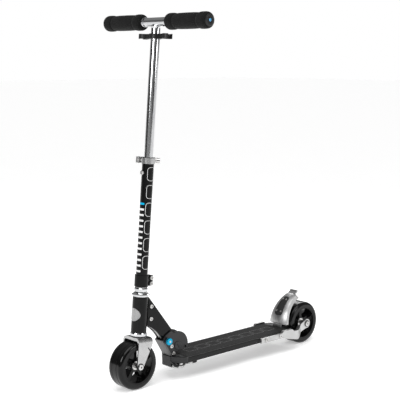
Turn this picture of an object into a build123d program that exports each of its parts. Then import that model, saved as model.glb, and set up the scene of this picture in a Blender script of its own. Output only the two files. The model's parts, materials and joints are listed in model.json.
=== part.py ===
"""Folding kick scooter with wide wheels, built as an assembly of separate pieces.

Frame: +X forward, +Y to the rider's left, +Z up, with the origin on the ground midway
between the axles. All sizes are in millimetres.
"""

from build123d import *
from math import acos, atan2, cos, degrees, hypot, radians, sin, sqrt
import os

# ---------------------------------------------------------------- driving dimensions

# Wheels
wheelbase = 620.0
wheel_diameter = 120.0
wheel_width = 50.0
tyre_shoulder = 9.0
tread_line_depth = 0.5
tread_line_width = 1.6
rim_opening_diameter = 84.0
rim_wall = 4.0
hub_half_width = 12.0
hub_wall = 4.0
spoke_count = 5
spoke_width = 9.0
spoke_half_depth = 11.0
bearing_outer_diameter = 22.0
bearing_bore_diameter = 8.0
bearing_width = 7.0
bearing_groove = 0.6

# Steering
rake_degrees = 4.8
axle_lead = 12.8
steerer_diameter = 25.4
steerer_wall = 1.4
crown_clearance = 3.0
crown_thickness = 7.0
fork_plate_thickness = 4.0
fork_tyre_clearance = 2.0
fork_top_length = 45.0
fork_eye_diameter = 20.0
fork_slot_length = 13.0
fork_slot_width = 3.0
head_tube_diameter = 39.0
head_tube_length = 91.0
head_tube_wall = 4.0
lower_cup_height = 10.0
lower_cup_diameter = 42.0
upper_cup_height = 9.0
upper_cup_diameter = 46.0
cup_spigot_depth = 8.0
locknut_height = 12.0
locknut_diameter = 34.0

# Stem
stem_tube_diameter = 29.6
stem_tube_length = 321.0
lower_clamp_diameter = 35.0
lower_clamp_height = 30.0
lower_clamp_rise = 2.0
clamp_ear_length = 14.0
clamp_ear_half_width = 8.0
clamp_split = 2.4
clamp_screw_diameter = 6.0
clamp_screw_pitch = 14.0
collar_wall = 2.4
collar_height = 15.5
collar_heading_degrees = -133.0
lever_reach = 36.0
lever_thickness = 4.0
bush_length = 28.0
bush_flange = 1.4
stem_button_diameter = 8.0
stem_button_drop = 37.0
stem_button_travel = 3.2

# Handlebar
bar_height = 850.0
bar_tube_diameter = 22.2
bar_tube_wall = 1.5
bar_insertion = 134.0
height_travel = 270.0
socket_half_length = 42.0
socket_ring_width = 4.0
socket_ring_rise = 1.6
weld_reach = 15.0
weld_rise = 1.4
bar_width = 383.0
handle_wall = 1.5
handle_insertion = 33.0
handle_flange_width = 4.0
grip_diameter = 40.5
grip_waist_diameter = 37.5
plug_diameter = 30.0
plug_thickness = 3.0
plug_spigot = 18.0
handle_button_diameter = 6.0
handle_button_travel = 2.2
elastic_diameter = 4.0
holder_height = 12.0
holder_drop = 35.0
clip_spacing = 88.0
clip_bore = 20.0
clip_wall = 2.6

# Deck
deck_width = 100.0
deck_top = 60.0
deck_thickness = 14.0
deck_front_setback = 142.0
deck_wheel_gap = 7.0
deck_rear_radius = 16.0
deck_rib_width = 22.0
deck_rib_depth = 9.0
deck_wall = 3.0
grip_tape_thickness = 0.8
grip_tape_margin = 3.5

# Nose casting and fold hinge
nose_length = 30.0
nose_tip_half_width = 17.0
nose_depth = 28.0
sole_length = 58.0
wing_drop = 1.5
pivot_setback = 136.0
pivot_rise = 26.0
hinge_disc_radius = 37.0
hinge_half_width = 16.0
hinge_plate_thickness = 5.0
hinge_side_gap = 0.4
hinge_front_thickness = 4.0
neck_plate_thickness = 4.8
neck_boss_radius = 15.5
neck_arch_gap = 41.5
pivot_bolt_diameter = 8.0
pivot_head_diameter = 22.0
ring_bolt_diameter = 6.0
ring_bolt_head = 10.5
lock_pin_diameter = 6.0
lock_knob_diameter = 18.0
lock_knob_thickness = 7.0
lock_travel = 5.0

# Rear stays
stay_bar_thickness = 6.0
stay_block_thickness = 9.0
stay_boss_radius = 13.0
stay_boss_thickness = 6.0
stay_tyre_clearance = 5.0
stay_bolt_diameter = 6.0

# Brake
fender_radius = 92.0
fender_crown = 9.0
fender_wall = 2.6
fender_skirt = 8.0
fender_rise = 9.5
fender_base_half_width = 33.0
fender_tip_half_width = 16.0
fender_start_degrees = 8.0
fender_end_degrees = 74.0
brake_tongue_width = 29.0
brake_pad_gap = 7.5
brake_pad_half_width = 15.0
brake_pin_diameter = 5.0
brake_barrel_radius = 6.0
brake_barrel_half_width = 7.0
rivet_diameter = 5.0
rivet_shank_diameter = 3.0
inlay_thickness = 1.6
spring_wire_diameter = 1.6
spring_turns = 4
spring_pitch = 1.5

# Axles
axle_diameter = 8.0
axle_head_diameter = 15.0
axle_head_thickness = 3.5
spacer_diameter = 13.0

# Kickstand
kickstand_length = 70.0
kickstand_bar_diameter = 7.0
kickstand_foot_diameter = 10.0
kickstand_foot_length = 14.0
kickstand_screw_diameter = 6.0
kickstand_hub_radius = 8.5
kickstand_tilt_degrees = 62.0
kickstand_lug_thickness = 4.0

# Fits
running_gap = 0.05
seat_gap = 0.02
axial_gap = 0.1

# ---------------------------------------------------------------- derived places

wheel_radius = wheel_diameter / 2
half_base = wheelbase / 2
front_axle_x = half_base
rear_axle_x = -half_base
half_width = wheel_width / 2
bearing_bore_radius = axle_diameter / 2 + running_gap
core_radius = rim_opening_diameter / 2 + rim_wall
deck_bottom = deck_top - deck_thickness
deck_half = deck_width / 2
deck_front = front_axle_x - deck_front_setback
deck_rear = rear_axle_x + wheel_radius + deck_wheel_gap
pivot_x = front_axle_x - pivot_setback
pivot_z = deck_top + pivot_rise
nose_tip_x = deck_front + nose_length

rake = radians(rake_degrees)
steer_base = Vector(front_axle_x - axle_lead, 0, wheel_radius)
steer_plane = Plane(
    origin=steer_base,
    x_dir=(cos(rake), 0, sin(rake)),
    z_dir=(-sin(rake), 0, cos(rake)),
)
steer_axis = Axis(steer_base, steer_plane.z_dir)
steer_side = Plane(origin=steer_base, x_dir=steer_plane.x_dir, z_dir=(0, -1, 0))

crown_bottom = wheel_radius + crown_clearance
crown_top = crown_bottom + crown_thickness
lower_cup_bottom = crown_top + 1.0
head_bottom = lower_cup_bottom + lower_cup_height
head_top = head_bottom + head_tube_length
upper_cup_top = head_top + upper_cup_height
locknut_bottom = upper_cup_top + 0.5
locknut_top = locknut_bottom + locknut_height
clamp_bottom = locknut_top + lower_clamp_rise
clamp_top = clamp_bottom + lower_clamp_height
stem_bottom = clamp_bottom + 1.0
stem_top = stem_bottom + stem_tube_length
steerer_top = clamp_top + 8.0
collar_bottom = stem_top - collar_height + 1.0
stem_button_height = stem_top - stem_button_drop

steerer_radius = steerer_diameter / 2
stem_radius = stem_tube_diameter / 2
stem_bore_radius = steerer_radius + running_gap
bar_radius = bar_tube_diameter / 2
bar_bore_radius = bar_radius - bar_tube_wall
handle_radius = bar_bore_radius - running_gap
handle_bore_radius = handle_radius - handle_wall
handle_inner_end = socket_half_length - handle_insertion
handle_outer_end = bar_width / 2 - plug_thickness
grip_start = socket_half_length + handle_flange_width + 1.0
handle_button_place = socket_half_length - 11.0

fork_inner = half_width + fork_tyre_clearance
fork_outer = fork_inner + fork_plate_thickness
stay_inner = half_width + stay_tyre_clearance
stay_outer = stay_inner + stay_boss_thickness

hinge_inner = hinge_half_width - hinge_plate_thickness
neck_outer = hinge_inner - hinge_side_gap
neck_inner = neck_outer - neck_plate_thickness

brake_pin_x = deck_rear + 14.0
brake_pin_z = deck_bottom + 7.0


# ---------------------------------------------------------------- helpers

def save(piece, name):
    """Label a finished piece and write it as its own STEP file."""
    piece.part.label = name
    export_step(piece.part, f"parts/{name}.step")


def side_plane(y):
    """Upright lengthwise plane: sketch coordinates are X and Z, extruding goes to -Y."""
    return Plane.XZ.offset(-y)


def axle_plane(x):
    """Plane through a wheel axle: sketch coordinates are Y and the radius."""
    return Plane(origin=(x, 0, wheel_radius), x_dir=(0, 1, 0), z_dir=(1, 0, 0))


def axle_axis(x):
    """Axis of a wheel whose axle stands at x."""
    return Axis((x, 0, wheel_radius), (0, 1, 0))


def in_steering(forward, up):
    """X and Z of a point given ahead of and along the steering axis."""
    x = steer_base.X + forward * cos(rake) - up * sin(rake)
    z = steer_base.Z + forward * sin(rake) + up * cos(rake)
    return x, z


def tangent_point(point, centre, radius, side):
    """Where the line from a point touches a circle, on the given side (+1 or -1)."""
    away_x = point[0] - centre[0]
    away_z = point[1] - centre[1]
    angle = atan2(away_z, away_x) + side * acos(radius / hypot(away_x, away_z))
    return centre[0] + radius * cos(angle), centre[1] + radius * sin(angle)


def turned(axis, plane, outline):
    """Solid of revolution from a closed list of points in a plane."""
    with BuildPart() as piece:
        with BuildSketch(plane):
            with BuildLine():
                Polyline(outline, close=True)
            make_face()
        revolve(axis=axis)
    return piece


def across(x, z, y_low, y_high, radius):
    """Plain round bar along Y."""
    with BuildPart() as piece:
        with BuildSketch(side_plane(y_high)):
            with Locations((x, z)):
                Circle(radius)
        extrude(amount=y_high - y_low)
    return piece


# ---------------------------------------------------------------- wheels

def build_wheel(x, end):
    """Tyre, cast core and two ball bearings of one wheel."""
    tread = wheel_radius - tread_line_depth
    line = tread_line_width / 2
    line_places = [-half_width / 3, half_width / 3]

    with BuildPart() as tyre:
        with BuildSketch(axle_plane(x)):
            with Locations((0, (wheel_radius + core_radius) / 2)):
                Rectangle(wheel_width, wheel_radius - core_radius)
            outer_corners = vertices().group_by(Axis.Y)[-1]
            fillet(outer_corners, radius=tyre_shoulder)
            with Locations([(place, wheel_radius) for place in line_places]):
                Rectangle(2 * line, 2 * (wheel_radius - tread), mode=Mode.SUBTRACT)
        revolve(axis=axle_axis(x))
    save(tyre, f"{end}_tyre")

    hub_radius = bearing_outer_diameter / 2 + hub_wall
    rim_inner = core_radius - rim_wall
    with BuildPart() as core:
        with BuildSketch(axle_plane(x)):
            with Locations((0, (core_radius + rim_inner) / 2)):
                Rectangle(wheel_width - 1.0, rim_wall)
            with Locations((0, (hub_radius + bearing_bore_radius) / 2)):
                Rectangle(2 * hub_half_width, hub_radius - bearing_bore_radius)
        revolve(axis=axle_axis(x))
        with BuildSketch(side_plane(spoke_half_depth)):
            with Locations((x, wheel_radius)):
                with PolarLocations(0, spoke_count, start_angle=90):
                    with Locations(((rim_inner + hub_radius) / 2, 0)):
                        Rectangle(rim_inner - hub_radius + 2.0, spoke_width)
        extrude(amount=2 * spoke_half_depth)
        spoke_edges = edges().filter_by(Axis.Y).filter_by(
            lambda edge: hypot(edge.center().X - x, edge.center().Z - wheel_radius) < rim_inner
        )
        fillet(spoke_edges, radius=2.5)
        for side in (-1, 1):
            seat_centre = side * (hub_half_width - bearing_width / 2)
            with BuildSketch(side_plane(seat_centre + bearing_width / 2)):
                with Locations((x, wheel_radius)):
                    Circle(bearing_outer_diameter / 2)
            extrude(amount=bearing_width, mode=Mode.SUBTRACT)
        with BuildSketch(side_plane(hub_half_width)):
            with Locations((x, wheel_radius)):
                Circle(spacer_diameter / 2 + 1.0)
        extrude(amount=2 * hub_half_width, mode=Mode.SUBTRACT)
    save(core, f"{end}_wheel_core")

    outer = bearing_outer_diameter / 2
    race = (outer - bearing_bore_radius) / 4
    with BuildPart() as bearings:
        for side in (-1, 1):
            centre = side * (hub_half_width - bearing_width / 2)
            with BuildSketch(axle_plane(x)):
                with Locations((centre, (outer + bearing_bore_radius) / 2)):
                    Rectangle(bearing_width, outer - bearing_bore_radius)
                    with Locations((bearing_width / 2, 0), (-bearing_width / 2, 0)):
                        Rectangle(2 * bearing_groove, 2 * race, mode=Mode.SUBTRACT)
            revolve(axis=axle_axis(x))
    save(bearings, f"{end}_bearings")


def build_axle(x, end, face):
    """Axle bolt with its cap nut, and the three spacer tubes on it.

    face is how far out the outer faces of the two side plates lie.
    """
    plate_inner = fork_inner if end == "front" else stay_inner
    shaft = axle_diameter / 2
    head = axle_head_diameter / 2
    socket_depth = axle_head_thickness - 1.0
    with BuildPart() as axle:
        with BuildSketch(side_plane(face)):
            with Locations((x, wheel_radius)):
                Circle(shaft)
        extrude(amount=2 * face)
        with BuildSketch(side_plane(face + axle_head_thickness)):
            with Locations((x, wheel_radius)):
                Circle(head)
        extrude(amount=axle_head_thickness)
        chamfer(faces().sort_by(Axis.Y)[-1].edges(), length=1.2)
        with BuildSketch(side_plane(face + axle_head_thickness)):
            with Locations((x, wheel_radius)):
                RegularPolygon(radius=2.9, side_count=6)
        extrude(amount=socket_depth, mode=Mode.SUBTRACT)
    with BuildPart() as nut:
        with BuildSketch(side_plane(-face)):
            with Locations((x, wheel_radius)):
                Circle(head)
        extrude(amount=axle_head_thickness)
        chamfer(faces().sort_by(Axis.Y)[0].edges(), length=1.2)
        with BuildSketch(side_plane(-face - 1.0)):
            with Locations((x, wheel_radius)):
                RegularPolygon(radius=2.9, side_count=6)
        extrude(amount=socket_depth, mode=Mode.SUBTRACT)
    with BuildPart() as axle_set:
        add(axle.part)
        add(nut.part)
    save(axle_set, f"{end}_axle")

    bore = shaft + seat_gap
    outer = spacer_diameter / 2
    inner_half = hub_half_width - bearing_width - axial_gap
    side_start = hub_half_width + axial_gap
    with BuildPart() as spacers:
        with BuildSketch(axle_plane(x)):
            with Locations((0, (outer + bore) / 2)):
                Rectangle(2 * inner_half, outer - bore)
            for side in (-1, 1):
                with Locations((side * (side_start + plate_inner) / 2, (outer + bore) / 2)):
                    Rectangle(plate_inner - side_start, outer - bore)
        revolve(axis=axle_axis(x))
    save(spacers, f"{end}_spacers")


# ---------------------------------------------------------------- fork and headset

def build_fork():
    """Bridge, two tapered side plates and the steerer tube, welded into one piece."""
    half_top = fork_top_length / 2
    eye = fork_eye_diameter / 2
    with BuildPart() as fork:
        with BuildSketch(Plane(steer_base, x_dir=(0, 1, 0), z_dir=steer_plane.x_dir)):
            with Locations((0, crown_top / 2 - eye / 2)):
                Rectangle(2 * fork_outer, crown_top + eye)
            fillet(vertices().group_by(Axis.Y)[-1], radius=11)
            with Locations((0, crown_bottom / 2 - eye)):
                Rectangle(2 * fork_inner, crown_bottom + 2 * eye, mode=Mode.SUBTRACT)
            inner_corners = vertices().filter_by(
                lambda corner: abs(abs(corner.X) - fork_inner) < 0.01
            ).group_by(Axis.Y)[-1]
            fillet(inner_corners, radius=7)
        extrude(amount=fork_top_length, both=True)
        with BuildSketch(steer_side) as outline:
            with BuildLine():
                top_rear = (-half_top, crown_top)
                bend_rear = (-half_top, crown_bottom - 8.0)
                low_rear = tangent_point(bend_rear, (axle_lead, 0), eye, 1)
                bend_front = (half_top, crown_bottom - 8.0)
                low_front = tangent_point(bend_front, (axle_lead, 0), eye, -1)
                Polyline(top_rear, bend_rear, low_rear, low_front, bend_front,
                         (half_top, crown_top), close=True)
            make_face()
            with Locations((axle_lead, 0)):
                Circle(eye)
            shoulder = vertices().filter_by(
                lambda corner: abs(corner.Y - bend_rear[1]) < 0.01
            )
            fillet(shoulder, radius=9)
        extrude(amount=2 * fork_outer, both=True, mode=Mode.INTERSECT)
        with BuildSketch(steer_plane.offset(crown_bottom + 1.0)):
            Circle(steerer_radius)
        extrude(amount=steerer_top - crown_bottom - 1.0)
        with BuildSketch(steer_plane.offset(crown_bottom - 1.0)):
            Circle(steerer_radius - steerer_wall)
        extrude(amount=steerer_top - crown_bottom + 2.0, mode=Mode.SUBTRACT)
        with BuildSketch(side_plane(2 * fork_outer)):
            with Locations((front_axle_x, wheel_radius)):
                Circle(axle_diameter / 2 + seat_gap)
        extrude(amount=4 * fork_outer, mode=Mode.SUBTRACT)
        with BuildSketch(steer_side.offset(-2 * fork_outer)):
            with Locations(Location((-half_top + 10.0, crown_bottom - 22.0), 50)):
                SlotOverall(fork_slot_length, fork_slot_width)
        extrude(amount=4 * fork_outer, mode=Mode.SUBTRACT)
    save(fork, "fork")


def build_headset():
    """Head tube with its rear lug, the two pressed cups and the locknut."""
    bore = head_tube_diameter / 2 - head_tube_wall
    with BuildPart() as head_tube:
        with BuildSketch(steer_plane.offset(head_bottom)):
            Circle(head_tube_diameter / 2)
        extrude(amount=head_tube_length)
        with BuildSketch(side_plane(neck_inner - seat_gap)):
            add(neck_outline(1.5))
        lug_depth = 2 * (neck_inner - seat_gap)
        extrude(amount=lug_depth)
        lug_end = in_steering(-lug_length(), head_bottom)[0]
        with BuildSketch(side_plane(neck_outer)):
            with Locations((lug_end - 100.0, pivot_z + 60.0)):
                Rectangle(200.0, 300.0)
        extrude(amount=2 * neck_outer, mode=Mode.SUBTRACT)
        with BuildSketch(side_plane(neck_outer)):
            with Locations(neck_bolt_places()):
                Circle(ring_bolt_diameter / 2 + seat_gap)
        extrude(amount=2 * neck_outer, mode=Mode.SUBTRACT)
        with BuildSketch(steer_plane.offset(head_bottom - 20.0)):
            Circle(bore)
        extrude(amount=head_tube_length + 40.0, mode=Mode.SUBTRACT)
    save(head_tube, "head_tube")

    inner = steerer_radius + running_gap
    with BuildPart() as cups:
        lower = lower_cup_diameter / 2
        with BuildSketch(steer_side):
            with BuildLine():
                Polyline(
                    (inner, lower_cup_bottom), (lower - 2.0, lower_cup_bottom),
                    (lower, lower_cup_bottom + 2.0), (lower, head_bottom - 3.0),
                    (lower - 1.2, head_bottom), (bore - seat_gap, head_bottom),
                    (bore - seat_gap, head_bottom + cup_spigot_depth),
                    (inner, head_bottom + cup_spigot_depth), close=True,
                )
            make_face()
        revolve(axis=steer_axis)
        upper = upper_cup_diameter / 2
        with BuildSketch(steer_side):
            with BuildLine():
                Polyline(
                    (inner, head_top - cup_spigot_depth),
                    (bore - seat_gap, head_top - cup_spigot_depth),
                    (bore - seat_gap, head_top), (upper - 3.2, head_top),
                    (upper - 3.2, head_top + 2.0), (upper, head_top + 3.0),
                    (upper, head_top + 5.0), (upper - 4.0, upper_cup_top - 1.5),
                    (upper - 5.5, upper_cup_top), (inner, upper_cup_top), close=True,
                )
            make_face()
        revolve(axis=steer_axis)
    save(cups, "headset_cups")

    nut = locknut_diameter / 2
    seat = steerer_radius + seat_gap
    locknut = turned(
        steer_axis,
        steer_side,
        [
            (seat, locknut_bottom), (nut - 3.0, locknut_bottom), (nut - 0.5, locknut_bottom + 3.0),
            (nut, locknut_bottom + 4.5), (nut, locknut_top - 2.5), (nut - 1.5, locknut_top),
            (seat, locknut_top),
        ],
    )
    save(locknut, "headset_locknut")


def build_head_badge():
    """Thin round badge bent onto the front of the head tube."""
    radius = head_tube_diameter / 2
    middle = (head_bottom + head_top) / 2
    with BuildPart() as badge:
        with BuildSketch(steer_plane.offset(middle - 16.5)):
            Circle(radius + 0.7)
            Circle(radius + seat_gap, mode=Mode.SUBTRACT)
        extrude(amount=33.0)
        front = steer_plane.offset(middle)
        with BuildSketch(Plane(front.origin, x_dir=(0, 1, 0), z_dir=steer_plane.x_dir)):
            Circle(16.5)
        extrude(amount=radius + 5.0, mode=Mode.INTERSECT)
    save(badge, "head_badge")


# ---------------------------------------------------------------- neck and fold hinge

def lug_length():
    """How far the head tube's lug reaches back from the steering axis."""
    return head_tube_diameter / 2 + 24.0


def neck_bolt_places():
    """X and Z of the two bolts that clamp the neck plates to the lug."""
    back = -head_tube_diameter / 2 - 9.0
    return [
        in_steering(back, head_top - 27.0),
        in_steering(back - 1.0, head_top - 59.0),
    ]


def neck_outline(inset):
    """Outline of the neck, from the head tube down to the fold pivot."""
    pivot = (pivot_x, pivot_z)
    boss = neck_boss_radius - inset
    back = -head_tube_diameter / 2 + 0.7
    top = in_steering(back, head_top - 3.0 - inset)
    bottom = in_steering(back, head_bottom + 2.0)
    front_top = hinge_front_top()
    low_x = front_top[0] - hinge_front_thickness - 1.5 - inset
    low_corner = (low_x, front_top[1] + 2.0)
    upper_touch = tangent_point(top, pivot, boss, 1)
    lower_touch = tangent_point(low_corner, pivot, boss, -1)
    arch = wheel_radius + neck_arch_gap + inset
    with BuildSketch() as outline:
        with BuildLine():
            Polyline(top, upper_touch, lower_touch, low_corner, bottom, close=True)
        make_face()
        with Locations(pivot):
            Circle(boss)
        with Locations((front_axle_x, wheel_radius)):
            Circle(arch, mode=Mode.SUBTRACT)
    return outline.sketch


def hinge_front_foot():
    """Lower front corner of the hinge block, on the nose casting."""
    return nose_tip_x - 2.5, deck_top


def hinge_front_top():
    """Upper front corner of the hinge block."""
    return nose_tip_x + 26.0, pivot_z + 20.0


def lock_pin_place():
    """X and Z of the fold lock."""
    return pivot_x + 36.0, pivot_z + 19.0


def short_bolt_place():
    """X and Z of the short screws beside the fold lock."""
    return pivot_x + 21.0, pivot_z + 2.0


def long_bolt_place():
    """X and Z of the bolt through the hinge plates and the nose casting."""
    return pivot_x + 14.0, deck_top + 8.0


def build_neck():
    """Two neck plates, the block between them and their bolts."""
    pivot = (pivot_x, pivot_z)
    with BuildPart() as left:
        with BuildSketch(side_plane(neck_outer)):
            add(neck_outline(0))
            with Locations(pivot):
                Circle(pivot_bolt_diameter / 2 + running_gap, mode=Mode.SUBTRACT)
            with Locations(lock_pin_place()):
                Circle(lock_pin_diameter / 2 + running_gap, mode=Mode.SUBTRACT)
            with Locations(neck_bolt_places()):
                Circle(ring_bolt_diameter / 2 + seat_gap, mode=Mode.SUBTRACT)
        extrude(amount=neck_plate_thickness)
    save(left, "neck_plate_left")
    with BuildPart() as right:
        add(left.part.mirror(Plane.XZ))
    save(right, "neck_plate_right")

    with BuildPart() as spacer:
        with BuildSketch(side_plane(neck_inner - seat_gap)):
            add(neck_outline(1.5))
            with Locations(pivot):
                Circle(pivot_bolt_diameter / 2 + running_gap, mode=Mode.SUBTRACT)
        extrude(amount=2 * (neck_inner - seat_gap))
        lug_end = in_steering(-lug_length(), head_bottom)[0]
        with BuildSketch(side_plane(neck_outer)):
            with Locations((lug_end + 100.0 - 0.5, pivot_z + 60.0)):
                Rectangle(200.0, 300.0)
        extrude(amount=2 * neck_outer, mode=Mode.SUBTRACT)
    save(spacer, "neck_spacer")

    with BuildPart() as bolts:
        for place in neck_bolt_places():
            add(through_bolt(place, neck_outer).part)
    save(bolts, "neck_bolts")


def through_bolt(place, face):
    """Bolt right through along Y with a dished round head on each side."""
    x, z = place
    head = ring_bolt_head / 2
    thickness = 3.0
    with BuildPart() as bolt:
        with BuildSketch(side_plane(face)):
            with Locations((x, z)):
                Circle(ring_bolt_diameter / 2)
        extrude(amount=2 * face)
        for start in (face + thickness, -face):
            with BuildSketch(side_plane(start)):
                with Locations((x, z)):
                    Circle(head)
            extrude(amount=thickness)
        chamfer(faces().sort_by(Axis.Y)[-1].edges(), length=0.8)
        chamfer(faces().sort_by(Axis.Y)[0].edges(), length=0.8)
        for start in (face + thickness, -face - 1.0):
            with BuildSketch(side_plane(start)):
                with Locations((x, z)):
                    RegularPolygon(radius=2.6, side_count=6)
            extrude(amount=2.0, mode=Mode.SUBTRACT)
    return bolt


def build_hinge():
    """Deck-side hinge plates, front plate, their bolts and the pivot bolt."""
    pivot = (pivot_x, pivot_z)
    foot = hinge_front_foot()
    front_top = hinge_front_top()
    run = hypot(front_top[0] - foot[0], front_top[1] - foot[1])
    normal_x = (front_top[1] - foot[1]) / run
    normal_z = -(front_top[0] - foot[0]) / run
    inner_foot_x = foot[0] - hinge_front_thickness / normal_x
    inner_top = (
        front_top[0] - hinge_front_thickness * normal_x,
        front_top[1] - hinge_front_thickness * normal_z,
    )
    radius = hinge_disc_radius
    shoulder_low = (pivot_x + 39.0, pivot_z + 32.5)
    shoulder_high = (pivot_x + 20.0, pivot_z + 42.0)
    notch_top = (pivot_x + 11.0, pivot_z + sqrt(radius ** 2 - 11.0 ** 2))
    rear_low = (pivot_x - radius + 1.6, pivot_z - 10.5)
    rear_mid = (pivot_x - radius * sin(radians(45)), pivot_z + radius * cos(radians(45)))

    with BuildPart() as left:
        with BuildSketch(side_plane(hinge_half_width)):
            with BuildLine():
                lower = Polyline(
                    rear_low, (pivot_x - 22.0, pivot_z - 14.0), (pivot_x + 3.0, pivot_z - 18.5),
                    (pivot_x + 7.0, deck_top), (inner_foot_x, deck_top), inner_top,
                    shoulder_low, shoulder_high, notch_top,
                )
                ThreePointArc(lower @ 1, rear_mid, lower @ 0)
            make_face()
            with Locations(pivot):
                Circle(pivot_bolt_diameter / 2 + seat_gap, mode=Mode.SUBTRACT)
            with Locations(lock_pin_place()):
                Circle(lock_pin_diameter / 2 + running_gap, mode=Mode.SUBTRACT)
            with Locations(short_bolt_place(), long_bolt_place()):
                Circle(ring_bolt_diameter / 2 + seat_gap, mode=Mode.SUBTRACT)
            with Locations((pivot_x - 27.0, pivot_z - 7.0)):
                Circle(3.4, mode=Mode.SUBTRACT)
        extrude(amount=hinge_plate_thickness)
        outer_rim = faces().sort_by(Axis.Y)[-1].outer_wire().edges()
        chamfer(outer_rim, length=0.8)
    save(left, "hinge_plate_left")
    with BuildPart() as right:
        add(left.part.mirror(Plane.XZ))
    save(right, "hinge_plate_right")

    with BuildPart() as front_plate:
        with BuildSketch(side_plane(hinge_half_width)):
            with BuildLine():
                Polyline((inner_foot_x, deck_top), foot, front_top, inner_top, close=True)
            make_face()
        extrude(amount=2 * hinge_half_width)
        fillet(edges().filter_by(Axis.Y).group_by(Axis.Z)[-1], radius=1.2)
    save(front_plate, "hinge_front_plate")

    with BuildPart() as bolts:
        add(through_bolt(long_bolt_place(), hinge_half_width).part)
        for side in (-1, 1):
            add(short_screw(short_bolt_place(), side).part)
    save(bolts, "hinge_bolts")

    head = pivot_head_diameter / 2
    with BuildPart() as bolt:
        with BuildSketch(side_plane(hinge_half_width)):
            with Locations(pivot):
                Circle(pivot_bolt_diameter / 2)
        extrude(amount=2 * hinge_half_width)
        with BuildSketch(side_plane(hinge_half_width + 2.2)):
            with Locations(pivot):
                Circle(head)
        extrude(amount=2.2)
        fillet(faces().sort_by(Axis.Y)[-1].edges(), radius=1.0)
        with BuildSketch(side_plane(hinge_half_width + 2.2)):
            with Locations(Location(pivot, 56)):
                SlotOverall(14.0, 2.4)
        extrude(amount=1.4, mode=Mode.SUBTRACT)
    with BuildPart() as nut:
        with BuildSketch(side_plane(-hinge_half_width)):
            with Locations(pivot):
                Circle(head)
        extrude(amount=2.2)
        fillet(faces().sort_by(Axis.Y)[0].edges(), radius=1.0)
        with BuildSketch(side_plane(-hinge_half_width - 0.8)):
            with Locations(Location(pivot, 56)):
                SlotOverall(14.0, 2.4)
        extrude(amount=1.4, mode=Mode.SUBTRACT)
    with BuildPart() as pivot_set:
        add(bolt.part)
        add(nut.part)
    save(pivot_set, "fold_pivot")


def short_screw(place, side):
    """Short screw in one hinge plate, which stops before the neck plate."""
    x, z = place
    with BuildPart() as screw:
        with BuildSketch(side_plane(hinge_half_width)):
            with Locations((x, z)):
                Circle(ring_bolt_diameter / 2)
        extrude(amount=hinge_plate_thickness)
        with BuildSketch(side_plane(hinge_half_width + 3.0)):
            with Locations((x, z)):
                Circle(ring_bolt_head / 2)
        extrude(amount=3.0)
        chamfer(faces().sort_by(Axis.Y)[-1].edges(), length=0.8)
        with BuildSketch(side_plane(hinge_half_width + 3.0)):
            with Locations((x, z)):
                RegularPolygon(radius=2.6, side_count=6)
        extrude(amount=2.0, mode=Mode.SUBTRACT)
    if side > 0:
        return screw
    with BuildPart() as mirrored:
        add(screw.part.mirror(Plane.XZ))
    return mirrored


def build_fold_lock():
    """Lock pin that drops through the hinge plate into the neck, and its pull knob."""
    x, z = lock_pin_place()
    knob_start = hinge_half_width + 0.5 + lock_travel
    pin_tip = hinge_inner - 0.1
    pin = across(x, z, pin_tip, knob_start + lock_knob_thickness + 0.8, lock_pin_diameter / 2)
    save(pin, "lock_pin")
    with BuildPart() as knob:
        with BuildSketch(side_plane(knob_start + lock_knob_thickness)):
            with Locations((x, z)):
                Circle(lock_knob_diameter / 2)
                Circle(lock_pin_diameter / 2 + seat_gap, mode=Mode.SUBTRACT)
        extrude(amount=lock_knob_thickness)
        outer_edge = edges().filter_by(GeomType.CIRCLE).sort_by(SortBy.RADIUS).group_by(
            lambda edge: round(edge.radius, 3)
        )[-1]
        fillet(outer_edge, radius=1.6)
    save(knob, "lock_knob")


# ---------------------------------------------------------------- stem

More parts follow.
